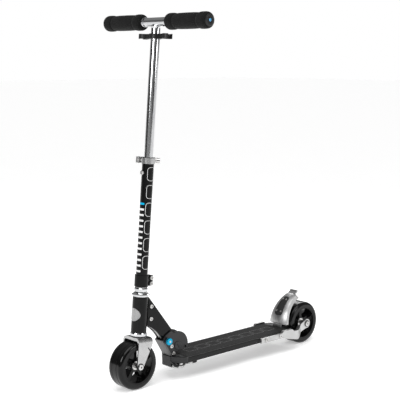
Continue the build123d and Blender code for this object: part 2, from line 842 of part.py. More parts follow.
def build_stem():
    """Stem tube, lower clamp with screws, top collar, bushes and clamp bolt."""
    with BuildPart() as tube:
        with BuildSketch(steer_plane.offset(stem_bottom)):
            Circle(stem_radius)
            Circle(stem_bore_radius, mode=Mode.SUBTRACT)
        extrude(amount=stem_tube_length)
        with BuildSketch(forward_plane(stem_button_height)):
            Circle(stem_button_diameter / 2 + running_gap)
        extrude(amount=2 * stem_radius, mode=Mode.SUBTRACT)
    save(tube, "stem_tube")

    outer = lower_clamp_diameter / 2
    ear_end = -outer - clamp_ear_length
    screw_forward = ear_end + 7.0
    middle = (clamp_bottom + clamp_top) / 2
    screw_heights = [middle - clamp_screw_pitch / 2, middle + clamp_screw_pitch / 2]
    with BuildPart() as clamp:
        with BuildSketch(steer_plane.offset(clamp_bottom)):
            Circle(outer)
        extrude(amount=lower_clamp_height)
        with BuildSketch(steer_plane.offset(clamp_bottom + 2.0)):
            with Locations((ear_end / 2, 0)):
                Rectangle(-ear_end, 2 * clamp_ear_half_width)
        extrude(amount=lower_clamp_height - 4.0)
        end_edges = edges().filter_by(lambda edge: edge_is_far_back(edge, ear_end))
        fillet(end_edges, radius=1.5)
        bottom_rim = edges().filter_by(GeomType.CIRCLE).sort_by(Axis.Z)[0]
        chamfer(bottom_rim, length=1.6)
        with BuildSketch(steer_plane.offset(clamp_bottom - 1.0)):
            Circle(stem_radius + seat_gap)
            with Locations((ear_end / 2, 0)):
                Rectangle(-ear_end + 4.0, clamp_split)
        extrude(amount=lower_clamp_height + 2.0, mode=Mode.SUBTRACT)
        with BuildSketch(steer_side.offset(-clamp_ear_half_width - 5.0)):
            with Locations([(screw_forward, height) for height in screw_heights]):
                Circle(clamp_screw_diameter / 2 + seat_gap)
        extrude(amount=2 * clamp_ear_half_width + 10.0, mode=Mode.SUBTRACT)
    save(clamp, "stem_clamp")

    with BuildPart() as screws:
        for height in screw_heights:
            add(clamp_screw(screw_forward, height).part)
    save(screws, "stem_clamp_screws")

    with BuildPart() as bushes:
        bush_outer = stem_bore_radius - seat_gap
        bush_inner = bar_radius + running_gap
        with BuildSketch(steer_side):
            with BuildLine():
                Polyline(
                    (bush_inner, stem_top - bush_length), (bush_outer, stem_top - bush_length),
                    (bush_outer, stem_top), (stem_radius + 1.0, stem_top),
                    (stem_radius + 1.0, stem_top + bush_flange),
                    (bush_inner, stem_top + bush_flange), close=True,
                )
            make_face()
        revolve(axis=steer_axis)
        low_bush = bar_height - (bar_height - stem_top) - bar_insertion + 12.0
        with BuildSketch(steer_side):
            with BuildLine():
                Polyline(
                    (bush_inner, low_bush), (bush_outer, low_bush),
                    (bush_outer, low_bush + bush_length), (bush_inner, low_bush + bush_length),
                    close=True,
                )
            make_face()
        revolve(axis=steer_axis)
    save(bushes, "guide_bushes")


def forward_plane(height):
    """Plane on the steering axis facing forward, at a height along the axis."""
    origin = steer_plane.offset(height).origin
    return Plane(origin, x_dir=(0, 1, 0), z_dir=steer_plane.x_dir)


def edge_is_far_back(edge, ear_end):
    """Whether an edge lies on the rear face of the clamp's ears."""
    place = steer_plane.to_local_coords(edge.center())
    return abs(place.X - ear_end) < 0.01


def clamp_screw(forward, height):
    """Socket screw across the lower clamp's ears."""
    start = clamp_ear_half_width + 4.0
    head = clamp_screw_diameter / 2 + 2.0
    with BuildPart() as screw:
        with BuildSketch(steer_side.offset(-start)):
            with Locations((forward, height)):
                Circle(head)
        extrude(amount=4.0)
        with BuildSketch(steer_side.offset(-clamp_ear_half_width)):
            with Locations((forward, height)):
                Circle(clamp_screw_diameter / 2)
        extrude(amount=2 * clamp_ear_half_width + 1.0)
        with BuildSketch(steer_side.offset(-start)):
            with Locations((forward, height)):
                RegularPolygon(radius=2.6, side_count=6)
        extrude(amount=2.5, mode=Mode.SUBTRACT)
    return screw


def build_top_clamp():
    """Split collar at the top of the stem tube, its eye bolt, and the cam lever."""
    ring_outer = stem_radius + seat_gap + collar_wall
    heading = radians(collar_heading_degrees)
    plane = Plane(
        steer_plane.offset(collar_bottom).origin,
        x_dir=steer_plane.x_dir * cos(heading) + steer_plane.y_dir * sin(heading),
        z_dir=steer_plane.z_dir,
    )
    ear_out = ring_outer + 13.0
    ear_half = 9.0
    bolt_out = ear_out - 6.5
    bolt_mid = collar_height / 2
    bolt_radius = 3.0
    eye_half = bolt_radius + 0.3
    pin_place = ear_half + 16.0
    head_radius = 7.0
    slot_radius = 5.8
    bolt_plane = Plane(
        plane.origin + plane.x_dir * bolt_out + plane.z_dir * bolt_mid,
        x_dir=plane.x_dir,
        z_dir=plane.y_dir,
    )
    with BuildPart() as collar:
        with BuildSketch(plane):
            Circle(ring_outer)
            with Locations((ear_out / 2, 0)):
                Rectangle(ear_out, 2 * ear_half)
            fillet(vertices().filter_by(
                lambda corner: corner.X > ear_out - 0.01
            ), radius=4.0)
            Circle(stem_radius + seat_gap, mode=Mode.SUBTRACT)
            with Locations((ear_out / 2 + 6.0, 0)):
                Rectangle(ear_out, clamp_split, mode=Mode.SUBTRACT)
        extrude(amount=collar_height - 1.0)
        with BuildSketch(bolt_plane.offset(-2 * ear_half)):
            Circle(bolt_radius + seat_gap)
        extrude(amount=4 * ear_half, mode=Mode.SUBTRACT)
    save(collar, "top_collar")

    with BuildPart() as bolt:
        with BuildSketch(bolt_plane.offset(-ear_half - 8.9)):
            Circle(bolt_radius)
        extrude(amount=ear_half + 8.9 + pin_place - 4.0)
        with BuildSketch(bolt_plane.offset(ear_half)):
            Circle(5.5)
        extrude(amount=pin_place - head_radius - ear_half - axial_gap)
        with BuildSketch(plane.offset(bolt_mid - eye_half)):
            with Locations((bolt_out, pin_place)):
                Circle(5.5)
        extrude(amount=2 * eye_half)
        with BuildSketch(plane.offset(bolt_mid - 2 * bolt_radius)):
            with Locations((bolt_out, pin_place)):
                Circle(2.5 + seat_gap)
        extrude(amount=4 * bolt_radius, mode=Mode.SUBTRACT)
    with BuildPart() as nut:
        with BuildSketch(bolt_plane.offset(-ear_half - 19.0)):
            Circle(7.0)
        extrude(amount=9.0)
        with BuildSketch(bolt_plane.offset(-ear_half - 10.0)):
            Circle(5.5)
        extrude(amount=10.0)
        with BuildSketch(bolt_plane.offset(-ear_half - 9.0)):
            Circle(bolt_radius + seat_gap)
        extrude(amount=10.0, mode=Mode.SUBTRACT)
    with BuildPart() as cross_pin:
        with BuildSketch(plane.offset(-0.5)):
            with Locations((bolt_out, pin_place)):
                Circle(2.5)
        extrude(amount=collar_height + 1.0)
    with BuildPart() as bolt_set:
        add(bolt.part)
        add(nut.part)
        add(cross_pin.part)
    save(bolt_set, "clamp_bolt")

    arm_outer = lever_reach + lever_thickness
    with BuildPart() as lever:
        with BuildSketch(plane.offset(0.5)):
            Circle(arm_outer)
            Circle(lever_reach, mode=Mode.SUBTRACT)
            with Locations((arm_outer / 2, (pin_place - 16.0) / 2)):
                Rectangle(arm_outer, pin_place + 16.0, mode=Mode.INTERSECT)
            with Locations((bolt_out, pin_place)):
                Circle(head_radius)
        extrude(amount=collar_height - 1.0)
        with BuildSketch(plane.offset(bolt_mid - eye_half - 0.3)):
            with Locations((bolt_out, pin_place)):
                Circle(slot_radius)
            with Locations((bolt_out - head_radius, pin_place)):
                Rectangle(2 * head_radius, 2 * head_radius + 2.0)
            with Locations((bolt_out, pin_place - head_radius)):
                Rectangle(2 * slot_radius, 2 * head_radius)
        extrude(amount=2 * eye_half + 0.6, mode=Mode.SUBTRACT)
        with BuildSketch(plane.offset(-2.0)):
            with Locations((bolt_out, pin_place)):
                Circle(2.5 + running_gap)
        extrude(amount=collar_height + 4.0, mode=Mode.SUBTRACT)
    save(lever, "clamp_lever")


def build_stem_button():
    """Spring button on the front of the stem tube that drops into the bar tube."""
    tip = bar_radius + 0.2
    head_start = stem_radius + 0.1 + stem_button_travel
    with BuildPart() as button:
        with BuildSketch(forward_plane(stem_button_height).offset(tip)):
            Circle(stem_button_diameter / 2)
        extrude(amount=head_start - tip)
        with BuildSketch(forward_plane(stem_button_height).offset(head_start)):
            Circle(stem_button_diameter / 2 + 1.5)
        extrude(amount=2.0)
        crown = faces().sort_by(Axis(steer_base, steer_plane.x_dir))[-1]
        fillet(crown.edges(), radius=0.9)
    save(button, "stem_button")


# ---------------------------------------------------------------- handlebar

def bar_plane():
    """Plane through the handlebar: sketch coordinates are Y and the radius."""
    origin = steer_plane.offset(bar_height).origin
    return Plane(origin, x_dir=(0, 1, 0), z_dir=steer_plane.x_dir)


def bar_axis():
    """Axis of the handlebar."""
    return Axis(steer_plane.offset(bar_height).origin, (0, 1, 0))


def build_bar():
    """Welded T of the sliding tube and the cross socket."""
    bottom = stem_top - bar_insertion
    origin = steer_plane.offset(bar_height).origin
    cross = Plane(origin, x_dir=steer_plane.x_dir, z_dir=(0, -1, 0))
    end = socket_half_length
    with BuildPart() as bar:
        with BuildSketch(steer_plane.offset(bottom)):
            Circle(bar_radius)
        extrude(amount=bar_height - weld_reach + 3.0 - bottom)
        with BuildSketch(cross.offset(-end)):
            Circle(bar_radius)
        extrude(amount=2 * end)
        with BuildSketch(steer_side):
            with BuildLine():
                Polyline(
                    (0, bar_height - weld_reach), (bar_radius, bar_height - weld_reach),
                    (bar_radius + weld_rise, bar_height - weld_reach + 3.5),
                    (bar_radius - 2.2, bar_height - 5.0), (0, bar_height - 5.0), close=True,
                )
            make_face()
        revolve(axis=steer_axis)
        for start in (end, -end + socket_ring_width):
            with BuildSketch(cross.offset(-start)):
                Circle(bar_radius + socket_ring_rise)
            extrude(amount=socket_ring_width)
        with BuildSketch(steer_plane.offset(bottom - 1.0)):
            Circle(bar_bore_radius)
        extrude(amount=bar_height - bar_radius - 1.0 - bottom, mode=Mode.SUBTRACT)
        with BuildSketch(cross.offset(-end - 1.0)):
            Circle(bar_bore_radius)
        extrude(amount=2 * end + 2.0, mode=Mode.SUBTRACT)
        with BuildSketch(forward_plane(stem_button_height)):
            Circle(stem_button_diameter / 2 + 2 * running_gap)
        extrude(amount=2 * bar_radius, mode=Mode.SUBTRACT)
        for side in (-1, 1):
            with BuildSketch(steer_plane.offset(bar_height)):
                with Locations((0, side * handle_button_place)):
                    Circle(handle_button_diameter / 2 + 2 * running_gap)
            extrude(amount=-2 * bar_radius, mode=Mode.SUBTRACT)
    save(bar, "t_bar")

    elastic = build_elastic()
    save(elastic, "handle_elastic")


def build_elastic():
    """Elastic cord that ties the two handles together through the socket."""
    reach = handle_outer_end - plug_spigot - 0.3
    knob = handle_bore_radius - 1.5
    radius = elastic_diameter / 2
    return turned(
        bar_axis(),
        bar_plane(),
        [
            (-reach, 0), (-reach, knob), (-reach + 5.0, knob), (-reach + 7.0, radius),
            (reach - 7.0, radius), (reach - 5.0, knob), (reach, knob), (reach, 0),
        ],
    )


def grip_profile(side):
    """Outline of the foam grip: three lobes, the inner end flat and the outer domed."""
    lobe = grip_diameter / 2
    waist = grip_waist_diameter / 2
    start = side * grip_start
    stop = side * handle_outer_end
    first = start + side * 27.0
    second = stop - side * 30.0
    bore = handle_radius + seat_gap
    groove = waist - 1.2
    middle = (first + second) / 2
    with BuildSketch() as outline:
        with BuildLine():
            inner_face = Line((start, bore), (start, lobe - 5.0))
            ThreePointArc(
                inner_face @ 1, (start + side * 3.0, lobe - 1.2), (start + side * 8.0, lobe)
            )
            Line((start + side * 8.0, lobe), (first - side * 2.5, lobe - 0.3))
            ThreePointArc(
                (first - side * 2.5, lobe - 0.3), (first, groove), (first + side * 2.0, waist)
            )
            ThreePointArc(
                (first + side * 2.0, waist), (middle, waist + 1.1), (second - side * 2.0, waist)
            )
            ThreePointArc(
                (second - side * 2.0, waist), (second, groove), (second + side * 2.5, lobe - 0.3)
            )
            Line((second + side * 2.5, lobe - 0.3), (stop - side * 14.0, lobe))
            ThreePointArc(
                (stop - side * 14.0, lobe), (stop - side * 4.5, lobe - 2.2),
                (stop, plug_diameter / 2),
            )
            Polyline((stop, plug_diameter / 2), (stop, bore), inner_face @ 0)
        make_face()
    return outline.sketch


def build_handle(side, name):
    """Handle tube, foam grip, end plug and lock button of one side."""
    inner_end = side * handle_inner_end
    outer_end = side * handle_outer_end
    flange = side * socket_half_length
    flange_radius = bar_radius + socket_ring_rise
    gap = side * axial_gap
    flange_end = flange + side * handle_flange_width
    with BuildPart() as tube:
        with BuildSketch(bar_plane()):
            with BuildLine():
                Polyline(
                    (inner_end, handle_bore_radius), (inner_end, handle_radius),
                    (flange + gap, handle_radius), (flange + gap, flange_radius),
                    (flange_end, flange_radius), (flange_end, handle_radius),
                    (outer_end, handle_radius), (outer_end, handle_bore_radius), close=True,
                )
            make_face()
        revolve(axis=bar_axis())
        with BuildSketch(steer_plane.offset(bar_height)):
            with Locations((0, side * handle_button_place)):
                Circle(handle_button_diameter / 2 + running_gap)
        extrude(amount=-2 * bar_radius, mode=Mode.SUBTRACT)
    save(tube, f"handle_tube_{name}")

    with BuildPart() as grip:
        with BuildSketch(bar_plane()):
            add(grip_profile(side))
        revolve(axis=bar_axis())
    save(grip, f"grip_{name}")

    plug = plug_diameter / 2
    spigot = handle_bore_radius - seat_gap
    spigot_start = outer_end - side * plug_spigot
    cap = outer_end + side * plug_thickness
    end_plug = turned(
        bar_axis(),
        bar_plane(),
        [
            (spigot_start, 0), (spigot_start, spigot), (outer_end, spigot), (outer_end, plug),
            (outer_end + side * 1.2, plug), (cap, plug - 2.5), (cap, plug - 5.0),
            (cap - side * 0.8, plug - 5.6), (cap - side * 0.8, 4.5), (cap, 4.0), (cap, 0),
        ],
    )
    save(end_plug, f"end_plug_{name}")

    stem = handle_button_diameter / 2
    lip = stem + 0.8
    tip = sqrt(handle_radius ** 2 - stem ** 2) - 0.1
    flange_top = sqrt(handle_bore_radius ** 2 - lip ** 2) - handle_button_travel - 0.1
    with BuildPart() as button:
        with BuildSketch(steer_plane.offset(bar_height - tip)):
            with Locations((0, side * handle_button_place)):
                Circle(stem)
        extrude(amount=tip - flange_top)
        with BuildSketch(steer_plane.offset(bar_height - flange_top)):
            with Locations((0, side * handle_button_place)):
                Circle(lip)
        extrude(amount=1.2)
    save(button, f"handle_button_{name}")


def build_holder():
    """Plastic clip bar under the socket that holds the two folded handles."""
    bottom = bar_height - holder_drop - holder_height / 2
    arm = clip_spacing / 2
    clip_outer = clip_bore / 2 + clip_wall
    with BuildPart() as holder:
        with BuildSketch(steer_plane.offset(bottom)):
            Circle(bar_radius + 4.0)
            Rectangle(10.0, 2 * arm)
            with Locations((0, -arm), (0, arm)):
                Circle(clip_outer)
            Circle(bar_radius + seat_gap, mode=Mode.SUBTRACT)
            with Locations((0, -arm), (0, arm)):
                Circle(clip_bore / 2, mode=Mode.SUBTRACT)
            with Locations((0, -arm - clip_outer), (0, arm + clip_outer)):
                Rectangle(13.0, clip_outer + 4.0, mode=Mode.SUBTRACT)
        extrude(amount=holder_height)
    save(holder, "handle_holder")


# ---------------------------------------------------------------- deck

def brake_slot_half():
    """Half width of the deck's rear slot for the brake tongue."""
    return brake_tongue_width / 2 + 1.0


def build_deck():
    """Extruded deck board with a ribbed underside, and its grip tape."""
    length = deck_front - deck_rear
    middle = (deck_front + deck_rear) / 2
    slot = brake_slot_half()
    slot_front = brake_pin_x + brake_barrel_radius + 4.0
    rib_pitch = deck_rib_width + deck_wall + 3.0
    with BuildPart() as board:
        with BuildSketch(Plane.XY.offset(deck_bottom)):
            with Locations((middle, 0)):
                Rectangle(length, deck_width)
            fillet(vertices().group_by(Axis.X)[0], radius=deck_rear_radius)
            with Locations(((deck_rear + slot_front) / 2 - 1.0, 0)):
                Rectangle(slot_front - deck_rear + 2.0, 2 * slot, mode=Mode.SUBTRACT)
        extrude(amount=deck_thickness)
        with BuildSketch(Plane.XY.offset(deck_bottom)):
            rib_length = length - sole_length - 60.0
            rib_middle = deck_front - sole_length - 10.0 - rib_length / 2
            with Locations([(rib_middle, row * rib_pitch) for row in (-1, 0, 1)]):
                Rectangle(rib_length, deck_rib_width)
        extrude(amount=deck_rib_depth, mode=Mode.SUBTRACT)
        with BuildSketch(side_plane(deck_half)):
            with Locations((brake_pin_x, brake_pin_z)):
                Circle(brake_pin_diameter / 2 + seat_gap)
        extrude(amount=deck_width, mode=Mode.SUBTRACT)
        with BuildSketch(side_plane(deck_half)):
            with Locations(stay_bolt_places()):
                Circle(stay_bolt_diameter / 2 + seat_gap)
        extrude(amount=deck_width, mode=Mode.SUBTRACT)
        top_rim = faces().sort_by(Axis.Z)[-1].outer_wire().edges().filter_by(Axis.X)
        long_edges = top_rim.filter_by(lambda edge: edge.length > length / 2)
        fillet(long_edges, radius=2.0)
    save(board, "deck_board")

    tape_front = deck_front - 2.0
    tape_rear = slot_front + 4.0
    with BuildPart() as tape:
        with BuildSketch(Plane.XY.offset(deck_top)):
            with Locations(((tape_front + tape_rear) / 2, 0)):
                RectangleRounded(tape_front - tape_rear, deck_width - 2 * grip_tape_margin, 8.0)
        extrude(amount=grip_tape_thickness)
    save(tape, "grip_tape")


def build_nose():
    """Nose casting in front of the deck: flared wings, a keel and a kickstand lug."""
    keel_bottom = deck_top - nose_depth
    keel_rear = deck_front - sole_length
    foot_x = hinge_front_foot()[0]
    upstand_rear = pivot_x + 4.0
    upstand_top = deck_top + 12.0
    upstand_half = hinge_inner - seat_gap
    with BuildPart() as nose:
        with BuildSketch(Plane.XY.offset(deck_bottom - wing_drop)):
            with BuildLine():
                Polyline(
                    (deck_front, -deck_half), (deck_front + 3.0, -deck_half),
                    (nose_tip_x, -nose_tip_half_width), (nose_tip_x, nose_tip_half_width),
                    (deck_front + 3.0, deck_half), (deck_front, deck_half), close=True,
                )
            make_face()
            fillet(vertices().group_by(Axis.X)[-1], radius=5.0)
        extrude(amount=deck_thickness + wing_drop)
        with BuildSketch(side_plane(nose_tip_half_width)):
            with BuildLine():
                Polyline(
                    (keel_rear, deck_bottom), (deck_front, deck_bottom),
                    (nose_tip_x, deck_bottom), (nose_tip_x, keel_bottom + 2.0),
                    (nose_tip_x - 4.0, keel_bottom - 1.0), (keel_rear, deck_bottom - 3.0),
                    close=True,
                )
            make_face()
        extrude(amount=2 * nose_tip_half_width)
        with BuildSketch(side_plane(upstand_half)):
            with BuildLine():
                Polyline(
                    (upstand_rear, deck_top - 1.0), (foot_x - 6.0, deck_top - 1.0),
                    (foot_x - 1.0, deck_top + 8.0), (foot_x - 3.0, upstand_top),
                    (upstand_rear, upstand_top), close=True,
                )
            make_face()
        extrude(amount=2 * upstand_half)
        with BuildSketch(side_plane(deck_half)):
            with Locations((pivot_x, pivot_z)):
                Circle(neck_boss_radius + 0.6)
            with Locations(long_bolt_place()):
                Circle(ring_bolt_diameter / 2 + seat_gap)
        extrude(amount=deck_width, mode=Mode.SUBTRACT)
        with BuildSketch(kickstand_plane()):
            Circle(kickstand_hub_radius)
            with Locations((0, kickstand_hub_radius)):
                Rectangle(2 * kickstand_hub_radius, 2 * kickstand_hub_radius)
        extrude(amount=kickstand_lug_thickness)
        with BuildSketch(kickstand_plane()):
            Circle(kickstand_screw_diameter / 2 + seat_gap)
        extrude(amount=kickstand_lug_thickness, mode=Mode.SUBTRACT)
    save(nose, "nose_casting")


# ---------------------------------------------------------------- rear stays

def stay_bolt_places():
    """X and Z of the two screws that fix each rear stay to the deck side."""
    z = (deck_top + deck_bottom) / 2 - 1.0
    return [(deck_rear + 124.0, z), (deck_rear + 67.0, z)]


def build_stays():
    """Left and right rear stays, and their screws."""
    axle = (rear_axle_x, wheel_radius)
    bar_front = deck_rear + 143.0
    block_front = deck_rear + 60.0
    block_rear = deck_rear + 12.0
    low = deck_bottom - 2.0
    high = deck_top - 2.0
    with BuildPart() as left:
        with BuildSketch(side_plane(deck_half + stay_block_thickness + 1.0)):
            with BuildLine():
                Polyline(
                    (bar_front, low), (bar_front, high), (block_front, high),
                    (block_front - 4.0, deck_top + 4.0), (deck_rear + 22.0, deck_top + 4.0),
                    (block_rear, deck_top - 3.0), (deck_rear - 20.0, deck_top - 5.0),
                    (rear_axle_x + 30.0, wheel_radius + 1.0),
                    (rear_axle_x + 9.0, wheel_radius + 9.5),
                    (rear_axle_x, wheel_radius - stay_boss_radius + 1.0),
                    (rear_axle_x + 20.0, wheel_radius - 18.0),
                    (rear_axle_x + 44.0, deck_bottom - 15.5),
                    (rear_axle_x + 64.0, deck_bottom - 16.5),
                    (deck_rear + 14.0, deck_bottom - 12.5), (block_front, low), close=True,
                )
            make_face()
            with Locations(axle):
                Circle(stay_boss_radius)
        extrude(amount=deck_half + stay_block_thickness + 1.0)
        outer_bar = deck_half + stay_bar_thickness
        outer_block = deck_half + stay_block_thickness
        rear_end = rear_axle_x - stay_boss_radius - 1.0
        with BuildSketch(Plane.XY) as plan:
            with BuildLine():
                Polyline(
                    (bar_front, deck_half), (bar_front, outer_bar), (block_front, outer_bar),
                    (block_front - 5.0, outer_block), (deck_rear + 10.0, outer_block),
                    (deck_rear - 8.0, outer_block - 3.0), (rear_axle_x + 26.0, stay_outer),
                    (rear_end, stay_outer), (rear_end, stay_inner),
                    (rear_axle_x + 24.0, stay_inner), (deck_rear - 4.0, deck_half),
                    close=True,
                )
            make_face()
            bends = vertices().filter_by(
                lambda corner: rear_axle_x + 10.0 < corner.X < deck_rear + 2.0
            )
            fillet(bends, radius=9.0)
        extrude(amount=2 * deck_top, mode=Mode.INTERSECT)
        with BuildSketch(side_plane(2 * deck_half)):
            with Locations(axle):
                Circle(axle_diameter / 2 + seat_gap)
            with Locations(stay_bolt_places()):
                Circle(stay_bolt_diameter / 2 + seat_gap)
        extrude(amount=2 * deck_half, mode=Mode.SUBTRACT)
    save(left, "rear_stay_left")
    with BuildPart() as right:
        add(left.part.mirror(Plane.XZ))
    save(right, "rear_stay_right")

    face = deck_half + stay_bar_thickness
    with BuildPart() as left_screws:
        for x, z in stay_bolt_places():
            add(socket_screw(x, z, face, 22.0).part)
    with BuildPart() as screws:
        add(left_screws.part)
        add(left_screws.part.mirror(Plane.XZ))
    save(screws, "stay_screws")


def socket_screw(x, z, face, length):
    """Button-head socket screw along Y, its head standing on a face."""
    with BuildPart() as screw:
        with BuildSketch(side_plane(face)):
            with Locations((x, z)):
                Circle(stay_bolt_diameter / 2)
        extrude(amount=length)
        with BuildSketch(side_plane(face + 3.0)):
            with Locations((x, z)):
                Circle(stay_bolt_diameter / 2 + 2.2)
        extrude(amount=3.0)
        fillet(faces().sort_by(Axis.Y)[-1].edges(), radius=1.2)
        with BuildSketch(side_plane(face + 3.0)):
            with Locations((x, z)):
                RegularPolygon(radius=2.2, side_count=6)
        extrude(amount=2.0, mode=Mode.SUBTRACT)
    return screw


# ---------------------------------------------------------------- brake

def fender_surface(y, inset):
    """Radius of the fender's outer surface at a distance from the middle."""
    drop = fender_crown * (y / fender_base_half_width) ** 2
    return fender_radius - drop - inset


def fender_ring(half_width_here, inset, floor):
    """Ring sector whose outside is the crowned fender surface, less an inset."""
    start_x = rear_axle_x
    with BuildPart() as ring:
        with BuildSketch(axle_plane(start_x)):
            with BuildLine():
                edge_radius = fender_surface(half_width_here, inset)
                crown = ThreePointArc(
                    (-half_width_here, edge_radius),
                    (0, fender_surface(0, inset)),
                    (half_width_here, edge_radius),
                )
                Polyline(crown @ 1, (half_width_here, floor), (-half_width_here, floor), crown @ 0)
            make_face()
        revolve(axis=axle_axis(start_x))
    return ring


def polar(radius, angle_degrees):
    """X and Z of a point around the rear axle, angles counted up from straight ahead."""
    angle = radians(angle_degrees)
    return rear_axle_x + radius * cos(angle), wheel_radius + radius * sin(angle)


def fender_wedge(base_half, tip_half, overrun):
    """Tapered block that trims the fender ring, seen along the fender's middle."""
    base = polar(fender_radius, fender_start_degrees - overrun)
    tip = polar(fender_radius, fender_end_degrees + overrun)
    length = hypot(tip[0] - base[0], tip[1] - base[1])
    up = Vector((tip[0] - base[0]) / length, 0, (tip[1] - base[1]) / length)
    plane = Plane((base[0], 0, base[1]), x_dir=(0, 1, 0), z_dir=Vector(0, 1, 0).cross(up))
    with BuildPart() as wedge:
        with BuildSketch(plane):
            with BuildLine():
                Polyline(
                    (-base_half, 0), (base_half, 0), (tip_half, length), (-tip_half, length),
                    close=True,
                )
            make_face()
            fillet(vertices().group_by(Axis.Y)[-1], radius=min(tip_half, 10.0) * 0.8)
        extrude(amount=fender_radius / 2, both=True)
    return wedge


def build_brake():
    """Foot brake: crowned fender with tongue and barrel, inlay, rivets and pad."""
    skirt_floor = fender_radius - fender_crown - fender_skirt
    outer_ring = fender_ring(fender_base_half_width, 0.0, skirt_floor)
    inner_ring = fender_ring(fender_base_half_width - fender_wall, fender_wall, wheel_radius)
    outer_wedge = fender_wedge(fender_base_half_width, fender_tip_half_width, 0.0)
    inner_wedge = fender_wedge(
        fender_base_half_width - fender_wall + 0.6, fender_tip_half_width - fender_wall, 6.0
    )
    with BuildPart() as hollow:
        add(inner_ring.part)
        add(inner_wedge.part, mode=Mode.INTERSECT)
    tongue_outer = fender_radius - 3.0
    tongue_inner = tongue_outer - 4.0
    tongue_half = brake_tongue_width / 2
    tongue_base_z = brake_pin_z + brake_barrel_radius + 0.5
    tongue_low = degrees(atan2(tongue_base_z - wheel_radius, tongue_outer))
    lip_start = polar(fender_radius - fender_wall, fender_end_degrees - 1.0)
    lip_outer = polar(fender_radius, fender_end_degrees - 1.0)
    with BuildPart() as fender:
        add(outer_ring.part)
        add(outer_wedge.part, mode=Mode.INTERSECT)
        add(hollow.part, mode=Mode.SUBTRACT)
        with BuildSketch(side_plane(deck_half)):
            with Locations((rear_axle_x + fender_radius, deck_top)):
                Rectangle(fender_radius, 2 * fender_rise)
        extrude(amount=deck_width, mode=Mode.SUBTRACT)
        with BuildSketch(side_plane(tongue_half)):
            with Locations((rear_axle_x, wheel_radius)):
                Circle(tongue_outer)
                Circle(tongue_inner, mode=Mode.SUBTRACT)
            with BuildLine():
                Polyline(
                    (rear_axle_x, wheel_radius), polar(2 * fender_radius, tongue_low),
                    polar(2 * fender_radius, fender_start_degrees + 12.0), close=True,
                )
            make_face(mode=Mode.INTERSECT)
        extrude(amount=2 * tongue_half)
        with BuildSketch(side_plane(brake_barrel_half_width)):
            with Locations((brake_pin_x, brake_pin_z)):
                Circle(brake_barrel_radius)
            with BuildLine():
                Polyline(
                    (brake_pin_x, brake_pin_z - brake_barrel_radius),
                    polar(tongue_outer, tongue_low - 1.0), polar(tongue_outer, tongue_low + 2.0),
                    polar(tongue_inner, tongue_low + 2.0),
                    (brake_pin_x - brake_barrel_radius, brake_pin_z), close=True,
                )
            make_face()
        extrude(amount=2 * brake_barrel_half_width)
        with BuildSketch(side_plane(fender_tip_half_width - 3.0)):
            with BuildLine():
                rise = 9.0
                Polyline(
                    lip_start, lip_outer, (lip_outer[0] - 6.0, lip_outer[1] + 4.5),
                    (lip_outer[0] - 9.0, lip_outer[1] + rise),
                    (lip_outer[0] - 13.0, lip_outer[1] + rise - 1.0),
                    (lip_outer[0] - 11.0, lip_outer[1] + 2.0), close=True,
                )
            make_face()
        extrude(amount=2 * (fender_tip_half_width - 3.0))
        with BuildSketch(side_plane(deck_half)):
            with Locations((brake_pin_x, brake_pin_z)):
                Circle(brake_pin_diameter / 2 + running_gap)
        extrude(amount=deck_width, mode=Mode.SUBTRACT)
        for place in rivet_places():
            with BuildSketch(rivet_plane(place, 5.0)):
                Circle(rivet_shank_diameter / 2)
            extrude(amount=-10.0, mode=Mode.SUBTRACT)
    save(fender, "brake_fender")

    inlay_outer = fender_ring(fender_base_half_width, -inlay_thickness, fender_radius - fender_crown)
    inlay_inner = fender_ring(fender_base_half_width, -seat_gap, wheel_radius)
    with BuildPart() as inlay:
        with BuildSketch(brake_face(0.0)):
            with BuildLine():
                Polyline((-14.0, -31.0), (14.0, -31.0), (10.0, 31.0), (-10.0, 31.0), close=True)
            make_face()
            fillet(vertices(), radius=8.0)
        extrude(amount=40.0, both=True)
        add(inlay_outer.part, mode=Mode.INTERSECT)
        add(inlay_inner.part, mode=Mode.SUBTRACT)
        for place in rivet_places():
            with BuildSketch(rivet_plane(place, 5.0)):
                Circle(rivet_shank_diameter / 2)
            extrude(amount=-10.0, mode=Mode.SUBTRACT)
    save(inlay, "brake_inlay")

    with BuildPart() as rivets:
        for place in rivet_places():
            add(rivet(place).part)
    save(rivets, "brake_rivets")

    low = wheel_radius + brake_pad_gap
    with BuildPart() as pad:
        with BuildSketch(side_plane(brake_pad_half_width)):
            with Locations((rear_axle_x, wheel_radius)):
                Circle(fender_radius - fender_wall - 2.4)
                Circle(low, mode=Mode.SUBTRACT)
            with BuildLine():
                Polyline(
                    (rear_axle_x, wheel_radius), polar(2 * fender_radius, 27.0),
                    polar(2 * fender_radius, 52.0), close=True,
                )
            make_face(mode=Mode.INTERSECT)
        extrude(amount=2 * brake_pad_half_width)
    save(pad, "brake_pad")


def brake_face(height):
    """Plane on the fender's crown at its middle: x is Y, y runs up the fender."""
    middle = (fender_start_degrees + fender_end_degrees) / 2
    x, z = polar(fender_radius + height, middle)
    out = Vector(cos(radians(middle)), 0, sin(radians(middle)))
    return Plane((x, 0, z), x_dir=(0, 1, 0), z_dir=out)


def rivet_places():
    """Rivets on the inlay: distance from the middle, and angle around the rear axle."""
    return [(-8.0, 29.0), (8.0, 29.0), (-6.0, 53.0), (6.0, 53.0)]


def rivet_plane(place, height):
    """Plane square to a rivet, at a height above the fender's surface."""
    y, angle = place
    x, z = polar(fender_surface(y, 0) + height, angle)
    out = Vector(cos(radians(angle)), 0, sin(radians(angle)))
    return Plane((x, y, z), x_dir=(0, 1, 0), z_dir=out)


